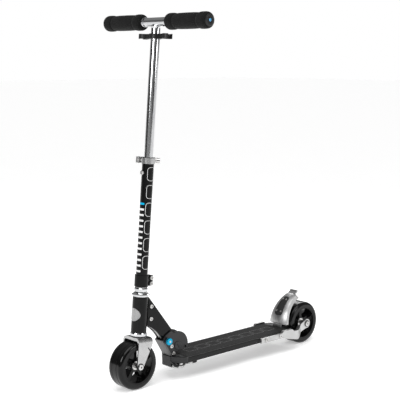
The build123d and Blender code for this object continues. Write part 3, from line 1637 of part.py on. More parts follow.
def rivet(place):
    """Round-headed rivet through the inlay and the fender."""
    with BuildPart() as piece:
        with BuildSketch(rivet_plane(place, inlay_thickness + 0.5)):
            Circle(rivet_shank_diameter / 2 - seat_gap)
        extrude(amount=-inlay_thickness - 0.5 - fender_wall)
        with BuildSketch(rivet_plane(place, inlay_thickness + 0.3)):
            Circle(rivet_diameter / 2)
        extrude(amount=1.3)
        fillet(faces().filter_by(GeomType.PLANE).sort_by(SortBy.AREA)[-1].edges(), radius=0.6)
    return piece


def build_brake_hinge():
    """Hinge pin across the deck and the torsion springs beside the barrel."""
    reach = deck_half - 8.0
    pin = across(brake_pin_x, brake_pin_z, -reach, reach, brake_pin_diameter / 2)
    save(pin, "brake_hinge_pin")

    wire = spring_wire_diameter / 2
    coil = brake_pin_diameter / 2 + wire + 0.3
    with BuildPart() as springs:
        for side in (-1, 1):
            for turn in range(spring_turns):
                y = side * (brake_barrel_half_width + 2 * wire + turn * spring_pitch)
                with Locations(Location((brake_pin_x, y, brake_pin_z), (90, 0, 0))):
                    Torus(coil, wire)
    save(springs, "brake_springs")


# ---------------------------------------------------------------- kickstand

def kickstand_plane():
    """Plane square to the kickstand's pivot screw: x runs back along the stowed leg."""
    tilt = radians(kickstand_tilt_degrees)
    origin = (nose_tip_x - 8.0, nose_tip_half_width + 11.0, deck_bottom - 7.0)
    return Plane(origin, x_dir=(-1, 0, 0), z_dir=(0, cos(tilt), sin(tilt)))


def build_kickstand():
    """Bent kickstand leg on its hub, the rubber foot, and the pivot screw."""
    plane = kickstand_plane()
    top = -0.3
    bar = kickstand_bar_diameter / 2
    hub_thickness = 5.0
    dip = -6.0
    end = (kickstand_length, 1.0)
    with BuildPart() as leg:
        with BuildSketch(plane.offset(top)):
            Circle(kickstand_hub_radius)
        extrude(amount=-hub_thickness)
        with BuildLine(plane.offset(top - bar)) as route:
            FilletPolyline((2.0, 0), (10.0, 0), (20.0, dip), (32.0, 1.0), end, radius=5.0)
        with BuildSketch(Plane(route.line @ 0, z_dir=route.line % 0)):
            Circle(bar)
        sweep(path=route.line)
        with BuildSketch(plane.offset(top + 1.0)):
            Circle(kickstand_screw_diameter / 2 + running_gap)
        extrude(amount=-4 * hub_thickness, mode=Mode.SUBTRACT)
        with BuildSketch(plane.offset(top - hub_thickness)):
            Circle(kickstand_screw_diameter / 2 + 3.0)
        extrude(amount=-2 * hub_thickness, mode=Mode.SUBTRACT)
    save(leg, "kickstand_leg")

    foot = kickstand_foot_diameter / 2
    foot_start = kickstand_length - kickstand_foot_length + 3.0
    axis_plane = plane.offset(top - bar)
    start = axis_plane.from_local_coords((foot_start, 1.0, 0))
    with BuildPart() as rubber:
        foot_plane = Plane(start, x_dir=plane.y_dir, z_dir=plane.x_dir)
        with BuildSketch(foot_plane):
            Circle(foot)
        extrude(amount=kickstand_foot_length)
        fillet(faces().sort_by(Axis.X)[0].edges(), radius=2.0)
        with BuildSketch(foot_plane):
            Circle(bar + seat_gap)
        extrude(amount=kickstand_length - foot_start, mode=Mode.SUBTRACT)
    save(rubber, "kickstand_foot")

    screw = kickstand_screw_diameter / 2
    head_top = top - hub_thickness - 0.1
    with BuildPart() as pivot_screw:
        with BuildSketch(plane.offset(head_top - 2.5)):
            Circle(screw + 2.4)
        extrude(amount=2.5)
        with BuildSketch(plane.offset(head_top)):
            Circle(screw)
        extrude(amount=kickstand_lug_thickness - head_top)
        with BuildSketch(plane.offset(head_top - 2.5)):
            RegularPolygon(radius=2.4, side_count=6)
        extrude(amount=1.8, mode=Mode.SUBTRACT)
    save(pivot_screw, "kickstand_screw")


# ---------------------------------------------------------------- build everything

os.makedirs("parts", exist_ok=True)
for axle_x, wheel_end, plate_face in (
    (front_axle_x, "front", fork_outer),
    (rear_axle_x, "rear", stay_outer),
):
    build_wheel(axle_x, wheel_end)
    build_axle(axle_x, wheel_end, plate_face)
build_fork()
build_headset()
build_head_badge()
build_neck()
build_hinge()
build_fold_lock()
build_stem()
build_top_clamp()
build_stem_button()
build_bar()
for bar_side, side_name in ((1, "left"), (-1, "right")):
    build_handle(bar_side, side_name)
build_holder()
build_deck()
build_nose()
build_stays()
build_brake()
build_brake_hinge()
build_kickstand()
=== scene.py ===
# %% [markdown]
# # A folding kick scooter
# The frame below is the scooter at its real size: every tube, plate, bolt and wheel is already
# there and in its place. This lesson gives each piece its finish, makes the foam handles and the
# small repeated details, and sets up a plain studio. A real scooter mixes few finishes: polished
# tube, satin castings, gloss black paint, cast polyurethane, moulded plastic, foam and grit.

# %% Load the frame
import json
import math

import bmesh
import bpy
from mathutils import Euler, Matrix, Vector


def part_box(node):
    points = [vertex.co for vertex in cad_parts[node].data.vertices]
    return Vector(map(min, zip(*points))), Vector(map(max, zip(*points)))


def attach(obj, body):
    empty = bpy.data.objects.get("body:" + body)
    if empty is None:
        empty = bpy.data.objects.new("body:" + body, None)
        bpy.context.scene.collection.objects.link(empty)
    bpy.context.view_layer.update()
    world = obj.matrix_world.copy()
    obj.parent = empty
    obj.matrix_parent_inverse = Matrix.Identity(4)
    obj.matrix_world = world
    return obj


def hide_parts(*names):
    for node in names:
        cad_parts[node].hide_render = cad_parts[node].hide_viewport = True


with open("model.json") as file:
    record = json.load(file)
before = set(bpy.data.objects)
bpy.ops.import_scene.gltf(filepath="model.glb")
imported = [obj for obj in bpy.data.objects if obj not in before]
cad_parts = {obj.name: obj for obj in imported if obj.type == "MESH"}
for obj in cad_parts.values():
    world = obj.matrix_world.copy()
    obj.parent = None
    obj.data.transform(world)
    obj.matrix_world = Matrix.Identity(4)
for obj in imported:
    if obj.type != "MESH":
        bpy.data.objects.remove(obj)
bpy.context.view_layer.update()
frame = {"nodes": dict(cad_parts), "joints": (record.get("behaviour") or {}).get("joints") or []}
nodes = frame["nodes"]
joints = {joint["name"]: joint for joint in frame["joints"]}

# %% [markdown]
# ## Where the steering axis stands
# The stem leans back a little. Its axis comes from the steering joint, so the patterns on the
# stem and the grips on the bar follow the real lean instead of a copied angle.

# %% Steering axis and handle axis
MM = 0.001
steer_base = Vector(joints["steering"]["pos_m"])
steer_up = Vector(joints["steering"]["axis"]).normalized()
rake = math.atan2(-steer_up.x, steer_up.z)


def middle_of(node):
    """Centre of a node's box."""
    low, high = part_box(node)
    return (Vector(low) + Vector(high)) / 2


bar_middle = middle_of("handle_elastic")
print("rake", round(math.degrees(rake), 2), "degrees; handles at", tuple(round(c, 3) for c in bar_middle))

# %% [markdown]
# ## A small kit for materials
# Every finish starts from one recipe. Fine noise, stretched where a surface is brushed or drawn,
# drives the roughness and a shallow bump; a broad noise drifts between two close tones, the way
# paint, oxide and handling vary. The helpers keep each finish to a few lines.

# %% Material helpers
class Finish:
    """A node material with its principled shader and short ways to add nodes."""

    def __init__(self, name):
        self.material = bpy.data.materials.new(name)
        self.material.use_nodes = True
        self.tree = self.material.node_tree
        self.shader = self.tree.nodes["Principled BSDF"]
        self.coords = self.tree.nodes.new("ShaderNodeTexCoord")

    def link(self, out_socket, in_socket):
        """Joins two sockets."""
        self.tree.links.new(out_socket, in_socket)

    def node(self, kind, **inputs):
        """A node with its inputs set from values or other nodes' sockets, by name."""
        made = self.tree.nodes.new(kind)
        for name, value in inputs.items():
            socket = made.inputs[name.replace("_", " ")]
            if isinstance(value, bpy.types.NodeSocket):
                self.link(value, socket)
            else:
                socket.default_value = value
        return made

    def math(self, operation, first, second=0.0, third=0.0):
        """Result of a math node on sockets or numbers."""
        made = self.tree.nodes.new("ShaderNodeMath")
        made.operation = operation
        for index, value in enumerate((first, second, third)):
            if isinstance(value, bpy.types.NodeSocket):
                self.link(value, made.inputs[index])
            else:
                made.inputs[index].default_value = value
        return made.outputs[0]

    def mix(self, factor, first, second):
        """Colour between two colours or colour sockets."""
        made = self.tree.nodes.new("ShaderNodeMix")
        made.data_type = "RGBA"
        for name, value in (("Factor_Float", factor), ("A_Color", first), ("B_Color", second)):
            socket = next(s for s in made.inputs if s.identifier == name)
            if isinstance(value, bpy.types.NodeSocket):
                self.link(value, socket)
            else:
                socket.default_value = value
        return next(s for s in made.outputs if s.identifier == "Result_Color")

    def place(self, location=(0, 0, 0), rotation=(0, 0, 0), scale=(1, 1, 1)):
        """Object coordinates seen from another frame."""
        mapping = self.node("ShaderNodeMapping", Vector=self.coords.outputs["Object"])
        mapping.vector_type = "TEXTURE"
        mapping.inputs["Location"].default_value = location
        mapping.inputs["Rotation"].default_value = rotation
        mapping.inputs["Scale"].default_value = scale
        return mapping.outputs[0]

    def noise(self, vector, scale, detail=4.0):
        """Value of a noise texture."""
        return self.node("ShaderNodeTexNoise", Vector=vector, Scale=scale, Detail=detail).outputs[0]

    def spread(self, value, low, high, start=0.3, stop=0.7):
        """A value carried from one range to another."""
        made = self.node("ShaderNodeMapRange", Value=value, To_Min=low, To_Max=high)
        made.inputs["From Min"].default_value = start
        made.inputs["From Max"].default_value = stop
        return made.outputs[0]

    def bump(self, height, strength, depth_mm):
        """Presses a height pattern into the surface in place of its grain."""
        self.link(height, self.pressed.inputs["Height"])
        self.pressed.inputs["Strength"].default_value = strength
        self.pressed.inputs["Distance"].default_value = depth_mm * MM


def tone(value, tint=(1.0, 1.0, 1.0)):
    """Opaque colour of a brightness and a tint."""
    return tuple(value * part for part in tint) + (1.0,)


def surface(name, light, dark, rough, grain, metallic=0.0, coat=0.0, stretch=(1, 1, 1),
            bump=0.15, depth_mm=0.05, swing=0.08, drift=22.0, shine=0.5):
    """The common recipe: drifting tone, uneven roughness and a fine grain in relief."""
    made = Finish(name)
    made.shader.inputs["Metallic"].default_value = metallic
    made.shader.inputs["Coat Weight"].default_value = coat
    made.shader.inputs["Coat Roughness"].default_value = 0.08
    made.shader.inputs["Specular IOR Level"].default_value = shine
    fine = made.noise(made.place(scale=stretch), grain)
    broad = made.noise(made.coords.outputs["Object"], drift)
    made.colour = made.mix(made.spread(broad, 0.0, 1.0), light, dark)
    made.link(made.colour, made.shader.inputs["Base Color"])
    made.uneven = made.math("MULTIPLY_ADD", fine, 0.5, made.math("MULTIPLY", broad, 0.5))
    made.link(made.spread(made.uneven, rough - swing, rough + swing), made.shader.inputs["Roughness"])
    made.fine = fine
    made.pressed = made.node("ShaderNodeBump", Height=fine, Strength=bump, Distance=depth_mm * MM)
    made.link(made.pressed.outputs[0], made.shader.inputs["Normal"])
    return made


def wear(finish, *node_names):
    """Puts a finish on CAD nodes."""
    for node_name in node_names:
        piece = nodes[node_name]
        for index in range(max(1, len(piece.material_slots))):
            if piece.material_slots:
                piece.material_slots[index].material = finish.material
            else:
                piece.data.materials.append(finish.material)
    print(finish.material.name, "on", len(node_names), "nodes")


# %% [markdown]
# ## Metals
# The drawn tubes are plated and polished, so they are nearly mirrors with faint hand smears. The
# castings and stays are blasted, then brushed along their length. Turned bolts carry a finer
# grain. Stretching the noise along one axis is enough to read as brushing.

# %% Metal finishes
chrome = surface("plated chrome", tone(0.66, (0.98, 0.99, 1.0)), tone(0.60, (0.97, 0.98, 1.0)), 0.12,
                 500.0, metallic=1.0, bump=0.004, depth_mm=0.01, swing=0.04, drift=30.0)
brushed = surface("brushed aluminium", tone(0.56), tone(0.47, (1.0, 1.0, 0.99)), 0.33, 1400.0,
                  metallic=1.0, stretch=(14.0, 1.0, 1.0), bump=0.12, depth_mm=0.02)
blasted = surface("blasted aluminium", tone(0.52), tone(0.45), 0.24, 1500.0, metallic=1.0,
                  bump=0.08, depth_mm=0.02)
graphite = surface("graphite anodised plate", tone(0.16), tone(0.12), 0.34, 1400.0, metallic=0.8,
                   stretch=(1.0, 14.0, 1.0), bump=0.12, depth_mm=0.02)
turned_steel = surface("turned steel", tone(0.66), tone(0.54, (1.0, 0.98, 0.95)), 0.27, 1800.0,
                       metallic=1.0, stretch=(1.0, 6.0, 1.0), bump=0.1, depth_mm=0.02)
spring_steel = surface("oiled spring steel", tone(0.30), tone(0.20, (1.0, 0.95, 0.9)), 0.35, 1200.0,
                       metallic=1.0)
dark_steel = surface("blackened steel", tone(0.012), tone(0.018, (1.0, 1.0, 1.1)), 0.34, 1300.0,
                     shine=0.35, coat=0.1, bump=0.15, depth_mm=0.03)
blue_anodised = surface("blue anodised", tone(1.0, (0.01, 0.42, 0.66)), tone(1.0, (0.01, 0.34, 0.56)),
                        0.25, 1500.0, metallic=0.9, stretch=(1.0, 5.0, 1.0), bump=0.08, depth_mm=0.02)

# %% Metal nodes
wear(chrome, "headset_cups", "headset_locknut", "t_bar", "handle_tube_left", "handle_tube_right")
wear(graphite, "hinge_front_plate")
wear(brushed, "rear_stay_left", "rear_stay_right", "kickstand_leg")
wear(blasted, "fork", "top_collar", "clamp_lever")
wear(turned_steel, "front_bearings", "rear_bearings", "front_axle", "rear_axle", "front_spacers",
     "rear_spacers", "neck_bolts", "neck_spacer", "stay_screws", "hinge_bolts", "clamp_bolt",
     "stem_clamp_screws", "brake_hinge_pin", "kickstand_screw", "lock_pin", "brake_rivets",
     "stem_button", "handle_button_left", "handle_button_right")
wear(spring_steel, "brake_springs")
wear(dark_steel, "hinge_plate_left", "hinge_plate_right", "fold_pivot", "nose_casting")
wear(blue_anodised, "lock_knob")

# %% [markdown]
# ## Paint, plastic and rubber
# The head tube, neck and lower clamp are black gloss paint under lacquer, with the orange peel
# that sprayed paint shows close up. Moulded plastics are duller with a spark-eroded texture.

# %% Paint and plastic finishes
gloss_black = surface("gloss black paint", tone(0.002), tone(0.004), 0.16, 260.0, coat=0.05,
                      bump=0.03, depth_mm=0.04, swing=0.04, shine=0.16)
core_black = surface("gloss black core", tone(0.002), tone(0.004), 0.2, 420.0, coat=0.05,
                     bump=0.06, depth_mm=0.05, shine=0.2)
moulded = surface("moulded black plastic", tone(0.008), tone(0.013), 0.42, 1700.0,
                  bump=0.3, depth_mm=0.05, shine=0.35)
rubber = surface("black rubber", tone(0.01), tone(0.016), 0.55, 1500.0, bump=0.3, depth_mm=0.05,
                 shine=0.3)
elastic = surface("braided elastic", tone(0.03), tone(0.05), 0.8, 1600.0, stretch=(1.0, 0.4, 1.0),
                  bump=0.5, depth_mm=0.1)
wear(gloss_black, "head_tube", "neck_plate_left", "neck_plate_right", "stem_clamp")
wear(core_black, "front_wheel_core", "rear_wheel_core")
wear(moulded, "guide_bushes", "handle_holder", "end_plug_left", "end_plug_right", "brake_pad")
wear(rubber, "kickstand_foot")
wear(elastic, "handle_elastic")

# %% [markdown]
# ## Cast tyres
# The wheels are cast polyurethane: glossy, with fine mould rings running round them. A sine wave
# across the wheel's width gives rings without any texture, and the noise of the common recipe
# makes the gloss uneven all over the tyre.

# %% Tyre finish
TYRE_RING_PITCH = 1.6 * MM
tyre = surface("cast tyre", tone(0.002), tone(0.004), 0.13, 300.0, coat=0.08, bump=0.05, shine=0.25)
tyre_place = tyre.node("ShaderNodeSeparateXYZ", Vector=tyre.coords.outputs["Object"])
across_wheel = tyre.math("MULTIPLY", tyre_place.outputs["Y"], 2 * math.pi / TYRE_RING_PITCH)
rings = tyre.math("SINE", across_wheel)
tyre.bump(tyre.math("MULTIPLY_ADD", rings, 0.5, tyre.math("MULTIPLY", tyre.fine, 0.4)), 0.22, 0.06)
wear(tyre, "front_tyre", "rear_tyre")

# %% [markdown]
# ## Printed outlines
# The stem and the deck carry plain printed shapes: rings and rounded bars drawn as thin outlines.
# Each shape is a distance formula. Inside the shape the distance is negative and outside it is
# positive, so a thin band round zero is its outline. One group holds the formula, and every
# printed shape is one use of it with its own place and size.

# %% Outline group
def build_outline_group():
    """Node group: 1 on the outline, or the inside when line is large, of a rounded bar."""
    group = bpy.data.node_groups.new("rounded outline", "ShaderNodeTree")
    for name in ("U", "V", "Middle U", "Middle V", "Half U", "Half V", "Corner", "Line"):
        group.interface.new_socket(name, in_out="INPUT", socket_type="NodeSocketFloat")
    group.interface.new_socket("Mask", in_out="OUTPUT", socket_type="NodeSocketFloat")
    source = group.nodes.new("NodeGroupInput").outputs
    target = group.nodes.new("NodeGroupOutput")

    def step(operation, first, second=0.0):
        made = group.nodes.new("ShaderNodeMath")
        made.operation = operation
        for index, value in enumerate((first, second)):
            if isinstance(value, bpy.types.NodeSocket):
                group.links.new(value, made.inputs[index])
            else:
                made.inputs[index].default_value = value
        return made.outputs[0]

    beyond = []
    for axis in ("U", "V"):
        away = step("ABSOLUTE", step("SUBTRACT", source[axis], source[f"Middle {axis}"]))
        core = step("SUBTRACT", source[f"Half {axis}"], source["Corner"])
        beyond.append(step("SUBTRACT", away, core))
    outside = [step("MAXIMUM", value, 0.0) for value in beyond]
    squares = [step("MULTIPLY", value, value) for value in outside]
    reach = step("SQRT", step("ADD", *squares))
    inside = step("MINIMUM", step("MAXIMUM", *beyond), 0.0)
    distance = step("SUBTRACT", step("ADD", reach, inside), source["Corner"])
    band = step("SUBTRACT", step("ABSOLUTE", step("ADD", distance, source["Line"])), source["Line"])
    mask = step("MULTIPLY", step("LESS_THAN", band, 0.0), 1.0)
    group.links.new(mask, target.inputs["Mask"])
    return group


outline_group = build_outline_group()


def printed(finish, u, v, shapes, line):
    """All of a list of rounded shapes (middle u, middle v, half u, half v, corner) as one mask."""
    total = None
    for middle_u, middle_v, half_u, half_v, corner in shapes:
        shape = finish.tree.nodes.new("ShaderNodeGroup")
        shape.node_tree = outline_group
        finish.link(u, shape.inputs["U"])
        finish.link(v, shape.inputs["V"])
        sizes = (middle_u, middle_v, half_u, half_v, corner, line / 2)
        for name, size in zip(("Middle U", "Middle V", "Half U", "Half V", "Corner", "Line"), sizes):
            shape.inputs[name].default_value = size * MM
        mask = shape.outputs["Mask"]
        total = mask if total is None else finish.math("MAXIMUM", total, mask)
    return total


# %% [markdown]
# ## The stem tube
# The stem is gloss black with an even print. Equal rounded outlines stand one above the other on
# its left and right sides, and equal plain bars climb its front, with one blue bar above them.
# The tube is unrolled in the material, so u is the way round it from the front and v is the height
# up the steering axis.

# %% Stem finish
STEM_RADIUS = 14.8 * MM
SIDE_PITCH = 44.0
SIDE_OUTLINE = (11.0, 17.0, 8.0)
SIDE_COUNT = 6
BAR_PITCH = 14.0
FRONT_BAR = (9.0, 2.5, 1.0)
BAR_COUNT = 12
PRINT_FOOT = 236.0
OUTLINE_WIDTH = 1.1
FILLED = 30.0


def even_row(first, pitch, count, shape):
    """Equal shapes (half u, half v, corner) at one pitch up the middle of a print."""
    return [(0.0, first + pitch * step, *shape) for step in range(count)]


stem = surface("printed stem paint", tone(0.002), tone(0.004), 0.16, 260.0, coat=0.05, bump=0.03,
               depth_mm=0.04, swing=0.04, shine=0.16)
stem_frame = stem.place(location=steer_base, rotation=(0, -rake, 0))
stem_part = stem.node("ShaderNodeSeparateXYZ", Vector=stem_frame)
turn = stem.math("ARCTAN2", stem_part.outputs["Y"], stem_part.outputs["X"])
round_front = stem.math("MULTIPLY", turn, STEM_RADIUS)
quarter = math.pi / 2 * STEM_RADIUS
round_side = stem.math("SUBTRACT", stem.math("ABSOLUTE", round_front), quarter)
height = stem_part.outputs["Z"]

side_shapes = even_row(PRINT_FOOT + SIDE_PITCH / 2, SIDE_PITCH, SIDE_COUNT, SIDE_OUTLINE)
side_print = printed(stem, round_side, height, side_shapes, OUTLINE_WIDTH)
front_bars = even_row(PRINT_FOOT, BAR_PITCH, BAR_COUNT, FRONT_BAR)
front_print = printed(stem, round_front, height, front_bars, FILLED)
blue_bars = even_row(PRINT_FOOT + BAR_PITCH * BAR_COUNT, BAR_PITCH, 1, FRONT_BAR)
blue_print = printed(stem, round_front, height, blue_bars, FILLED)
with_outlines = stem.mix(side_print, stem.colour, tone(0.7))
with_blue = stem.mix(blue_print, with_outlines, tone(1.0, (0.0, 0.44, 0.75)))
stem.link(stem.mix(front_print, with_blue, tone(0.78)), stem.shader.inputs["Base Color"])
wear(stem, "stem_tube")

# %% [markdown]
# ## Grip tape and the deck board
# The tape is fine grit set in resin: a coarse cell pattern in relief with dull, uneven colour. A
# row of equal faint outlines is printed along it. The board under it is black anodised, with the
# long lines that an extrusion die leaves.

# %% Deck finishes
TAPE_PITCH = 42.0
TAPE_OUTLINE = (15.0, 18.0, 6.0)
TAPE_COUNT = 8
TAPE_REAR = -180.0
tape = surface("grit tape", tone(0.010), tone(0.020), 0.78, 900.0, bump=0.3, shine=0.2)
grit = tape.node("ShaderNodeTexVoronoi", Vector=tape.coords.outputs["Object"], Scale=1100.0)
speckle = tape.spread(tape.fine, 0.0, 0.6, start=0.5, stop=0.75)
speckled = tape.mix(speckle, tape.colour, tone(0.11))
tape_part = tape.node("ShaderNodeSeparateXYZ", Vector=tape.coords.outputs["Object"])
tape_shapes = even_row(TAPE_REAR, TAPE_PITCH, TAPE_COUNT, TAPE_OUTLINE)
along_tape, across_tape = tape_part.outputs["X"], tape_part.outputs["Y"]
tape_lines = printed(tape, across_tape, along_tape, tape_shapes, 1.5)
faint = tape.math("MULTIPLY", tape_lines, tape.spread(tape.fine, 0.2, 0.75))
tape.link(tape.mix(faint, speckled, tone(0.35)), tape.shader.inputs["Base Color"])
tape.bump(tape.math("SUBTRACT", 1.0, grit.outputs["Distance"]), 0.6, 0.35)
wear(tape, "grip_tape")

board = surface("black anodised board", tone(0.005), tone(0.009), 0.34, 1300.0, metallic=0.3,
                stretch=(40.0, 1.0, 1.0), bump=0.2, depth_mm=0.03, shine=0.3)
wear(board, "deck_board")

# %% [markdown]
# ## Fender, inlay and badge
# The fender is a pressed sheet with a satin face. Its inlay is rubber with moulded ribs. The badge
# on the head tube carries no mark: it is a plain metal disc with concentric turned grooves.

# %% Fender and inlay finishes
fender = surface("satin fender", tone(0.58), tone(0.52), 0.36, 1500.0, metallic=1.0, bump=0.05,
                 depth_mm=0.02)
wear(fender, "brake_fender")
RIB_PITCH = 3.2 * MM
inlay = surface("ribbed rubber inlay", tone(0.014), tone(0.022), 0.6, 1500.0, shine=0.3)
inlay_part = inlay.node("ShaderNodeSeparateXYZ", Vector=inlay.coords.outputs["Object"])
ribs = inlay.math("SINE", inlay.math("MULTIPLY", inlay_part.outputs["Z"], 2 * math.pi / RIB_PITCH))
inlay.bump(inlay.math("MULTIPLY_ADD", ribs, 0.5, inlay.math("MULTIPLY", inlay.fine, 0.2)), 0.4, 0.3)
wear(inlay, "brake_inlay")

# %% Badge finish
GROOVE_PITCH = 2.4 * MM
badge = surface("turned badge", tone(0.42), tone(0.34), 0.3, 1200.0, metallic=0.9, coat=0.3)
badge_frame = badge.place(location=middle_of("head_badge"), rotation=(0, -rake, 0))
badge_part = badge.node("ShaderNodeSeparateXYZ", Vector=badge_frame)
sideways = badge_part.outputs["Y"]
upwards = badge_part.outputs["Z"]
reach = badge.math("SQRT", badge.math("ADD", badge.math("MULTIPLY", sideways, sideways),
                                      badge.math("MULTIPLY", upwards, upwards)))
grooves = badge.math("SINE", badge.math("MULTIPLY", reach, 2 * math.pi / GROOVE_PITCH))
badge.bump(grooves, 0.4, 0.1)
wear(badge, "head_badge")

# %% [markdown]
# ## Foam grips
# Each handle carries a moulded foam sleeve in three swollen sections with soft necks between them.
# Foam like this keeps its moulded form, so it is turned from a profile: along each section the
# radius rises on a flattened arc, and both ends roll over into the bore. The finish is a fine open
# cell skin. The tube runs inside the sleeve, so the bore stays open.

# %% Foam finish
foam = surface("closed cell foam", tone(0.004), tone(0.009), 0.86, 500.0, bump=0.2, drift=60.0,
               shine=0.15)
cells = foam.node("ShaderNodeTexVoronoi", Vector=foam.coords.outputs["Object"], Scale=620.0)
foam.bump(foam.math("MULTIPLY_ADD", cells.outputs["Distance"], 0.7,
                    foam.math("MULTIPLY", foam.fine, 0.5)), 0.55, 0.3)
foam.shader.inputs["Sheen Weight"].default_value = 0.06

# %% Turned sleeves
INNER_LOBE = 27.0 * MM
OUTER_LOBE = 30.0 * MM
SECTION_STEPS = 14
GRIP_SIDES = 72
GRIP_CROWN = 2.4 * MM
MIDDLE_DROP = 0.35
END_NECK = 2.6
INNER_NECK = 1.25
SWELL_FLATNESS = 3.6
BORE_STEPS = 8
SLEEVE_BORE = 9.75 * MM
WELD_DISTANCE = 1e-7


def turn_about(name, centre, profile, sides, finish, body, closed):
    """Solid of a profile of (place along Y, radius) turned about a line along Y through centre."""
    mesh = bpy.data.meshes.new(name)
    work = bmesh.new()
    loops = []
    for side in range(sides):
        angle = 2 * math.pi * side / sides
        spoke = Vector((math.cos(angle), 0.0, math.sin(angle)))
        loops.append([work.verts.new(centre + Vector((0.0, y, 0.0)) + r * spoke) for y, r in profile])
    count = len(profile)
    for side in range(sides):
        here, there = loops[side], loops[(side + 1) % sides]
        for index in range(count if closed else count - 1):
            after = (index + 1) % count
            work.faces.new((here[index], here[after], there[after], there[index]))
    bmesh.ops.remove_doubles(work, verts=work.verts, dist=WELD_DISTANCE)
    bmesh.ops.recalc_face_normals(work, faces=work.faces)
    for polygon in work.faces:
        polygon.smooth = True
    work.to_mesh(mesh)
    work.free()
    made = bpy.data.objects.new(name, mesh)
    bpy.context.collection.objects.link(made)
    made.data.materials.append(finish.material)
    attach(made, body)
    return made


def grip_profile(inner, outer, bore, full):
    """Profile of one sleeve from its inner end to its outer end, then back along the bore."""
    way = 1.0 if outer > inner else -1.0
    ends = (inner, inner + way * INNER_LOBE, outer - way * OUTER_LOBE, outer)
    crowns = (full, full - MIDDLE_DROP * GRIP_CROWN, full)
    points = []
    for section, crown in enumerate(crowns):
        start, stop = ends[section], ends[section + 1]
        for step in range(SECTION_STEPS + 1):
            part = 0.5 - 0.5 * math.cos(math.pi * step / SECTION_STEPS)
            if step == 0 and section > 0:
                continue
            outermost = (section == 0 and part < 0.5) or (section == 2 and part > 0.5)
            neck = full - (END_NECK if outermost else INNER_NECK) * GRIP_CROWN
            swell = (1.0 - abs(2.0 * part - 1.0) ** SWELL_FLATNESS) ** 0.5
            points.append((start + part * (stop - start), neck + (crown - neck) * swell))
    points.append((outer, bore))
    for step in range(1, BORE_STEPS):
        points.append((outer + (inner - outer) * step / BORE_STEPS, bore))
    points.append((inner, bore))
    return points


for side_name in ("left", "right"):
    low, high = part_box(f"grip_{side_name}")
    full_radius = (high[2] - low[2]) / 2
    inner_end, outer_end = (low[1], high[1]) if side_name == "left" else (high[1], low[1])
    profile = grip_profile(inner_end, outer_end, SLEEVE_BORE, full_radius)
    sleeve = turn_about(f"foam_grip_{side_name}", bar_middle, profile, GRIP_SIDES, foam,
                        f"handle_{side_name}", closed=True)
    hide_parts(f"grip_{side_name}")
    print(sleeve.name, "from", round(inner_end, 3), "to", round(outer_end, 3), "m")

# %% [markdown]
# ## Small things that repeat
# The lock knob is knurled so that fingers can pull it, and each end plug has a ring of raised
# teeth. Both are made by one Geometry Nodes tree: a circle of points, the same small pin on each
# one, then real geometry and a material, so nothing is left as an instance. Its sizes are named
# inputs.

# %% Tree for pins set in a circle
def build_circle_tree():
    """Tree that sets short round pins on a circle, then turns and moves the whole set."""
    tree = bpy.data.node_groups.new("pins in a circle", "GeometryNodeTree")
    tree.interface.new_socket("Geometry", in_out="INPUT", socket_type="NodeSocketGeometry")
    for name, kind in (("Count", "Int"), ("Circle Radius", "Float"), ("Pin Radius", "Float"),
                       ("Pin Length", "Float"), ("Pin Sides", "Int"), ("Lay Flat", "Vector"),
                       ("Place", "Vector"), ("Tilt", "Vector"), ("Finish", "Material")):
        tree.interface.new_socket(name, in_out="INPUT", socket_type=f"NodeSocket{kind}")
    tree.interface.new_socket("Geometry", in_out="OUTPUT", socket_type="NodeSocketGeometry")
    given = tree.nodes.new("NodeGroupInput").outputs
    result = tree.nodes.new("NodeGroupOutput")
    circle = tree.nodes.new("GeometryNodeMeshCircle")
    pin = tree.nodes.new("GeometryNodeMeshCylinder")
    lay = tree.nodes.new("GeometryNodeTransform")
    place = tree.nodes.new("GeometryNodeInputPosition")
    aim = tree.nodes.new("FunctionNodeAlignRotationToVector")
    copies = tree.nodes.new("GeometryNodeInstanceOnPoints")
    move = tree.nodes.new("GeometryNodeTransform")
    real = tree.nodes.new("GeometryNodeRealizeInstances")
    coat = tree.nodes.new("GeometryNodeSetMaterial")
    aim.axis = "X"
    joins = (
        (given["Count"], circle.inputs["Vertices"]),
        (given["Circle Radius"], circle.inputs["Radius"]),
        (given["Pin Sides"], pin.inputs["Vertices"]),
        (given["Pin Radius"], pin.inputs["Radius"]),
        (given["Pin Length"], pin.inputs["Depth"]),
        (pin.outputs["Mesh"], lay.inputs["Geometry"]),
        (given["Lay Flat"], lay.inputs["Rotation"]),
        (place.outputs[0], aim.inputs["Vector"]),
        (circle.outputs["Mesh"], copies.inputs["Points"]),
        (lay.outputs["Geometry"], copies.inputs["Instance"]),
        (aim.outputs["Rotation"], copies.inputs["Rotation"]),
        (copies.outputs["Instances"], move.inputs["Geometry"]),
        (given["Place"], move.inputs["Translation"]),
        (given["Tilt"], move.inputs["Rotation"]),
        (move.outputs["Geometry"], real.inputs["Geometry"]),
        (real.outputs["Geometry"], coat.inputs["Geometry"]),
        (given["Finish"], coat.inputs["Material"]),
        (coat.outputs["Geometry"], result.inputs["Geometry"]),
    )
    for start, end in joins:
        tree.links.new(start, end)
    return tree


circle_tree = build_circle_tree()


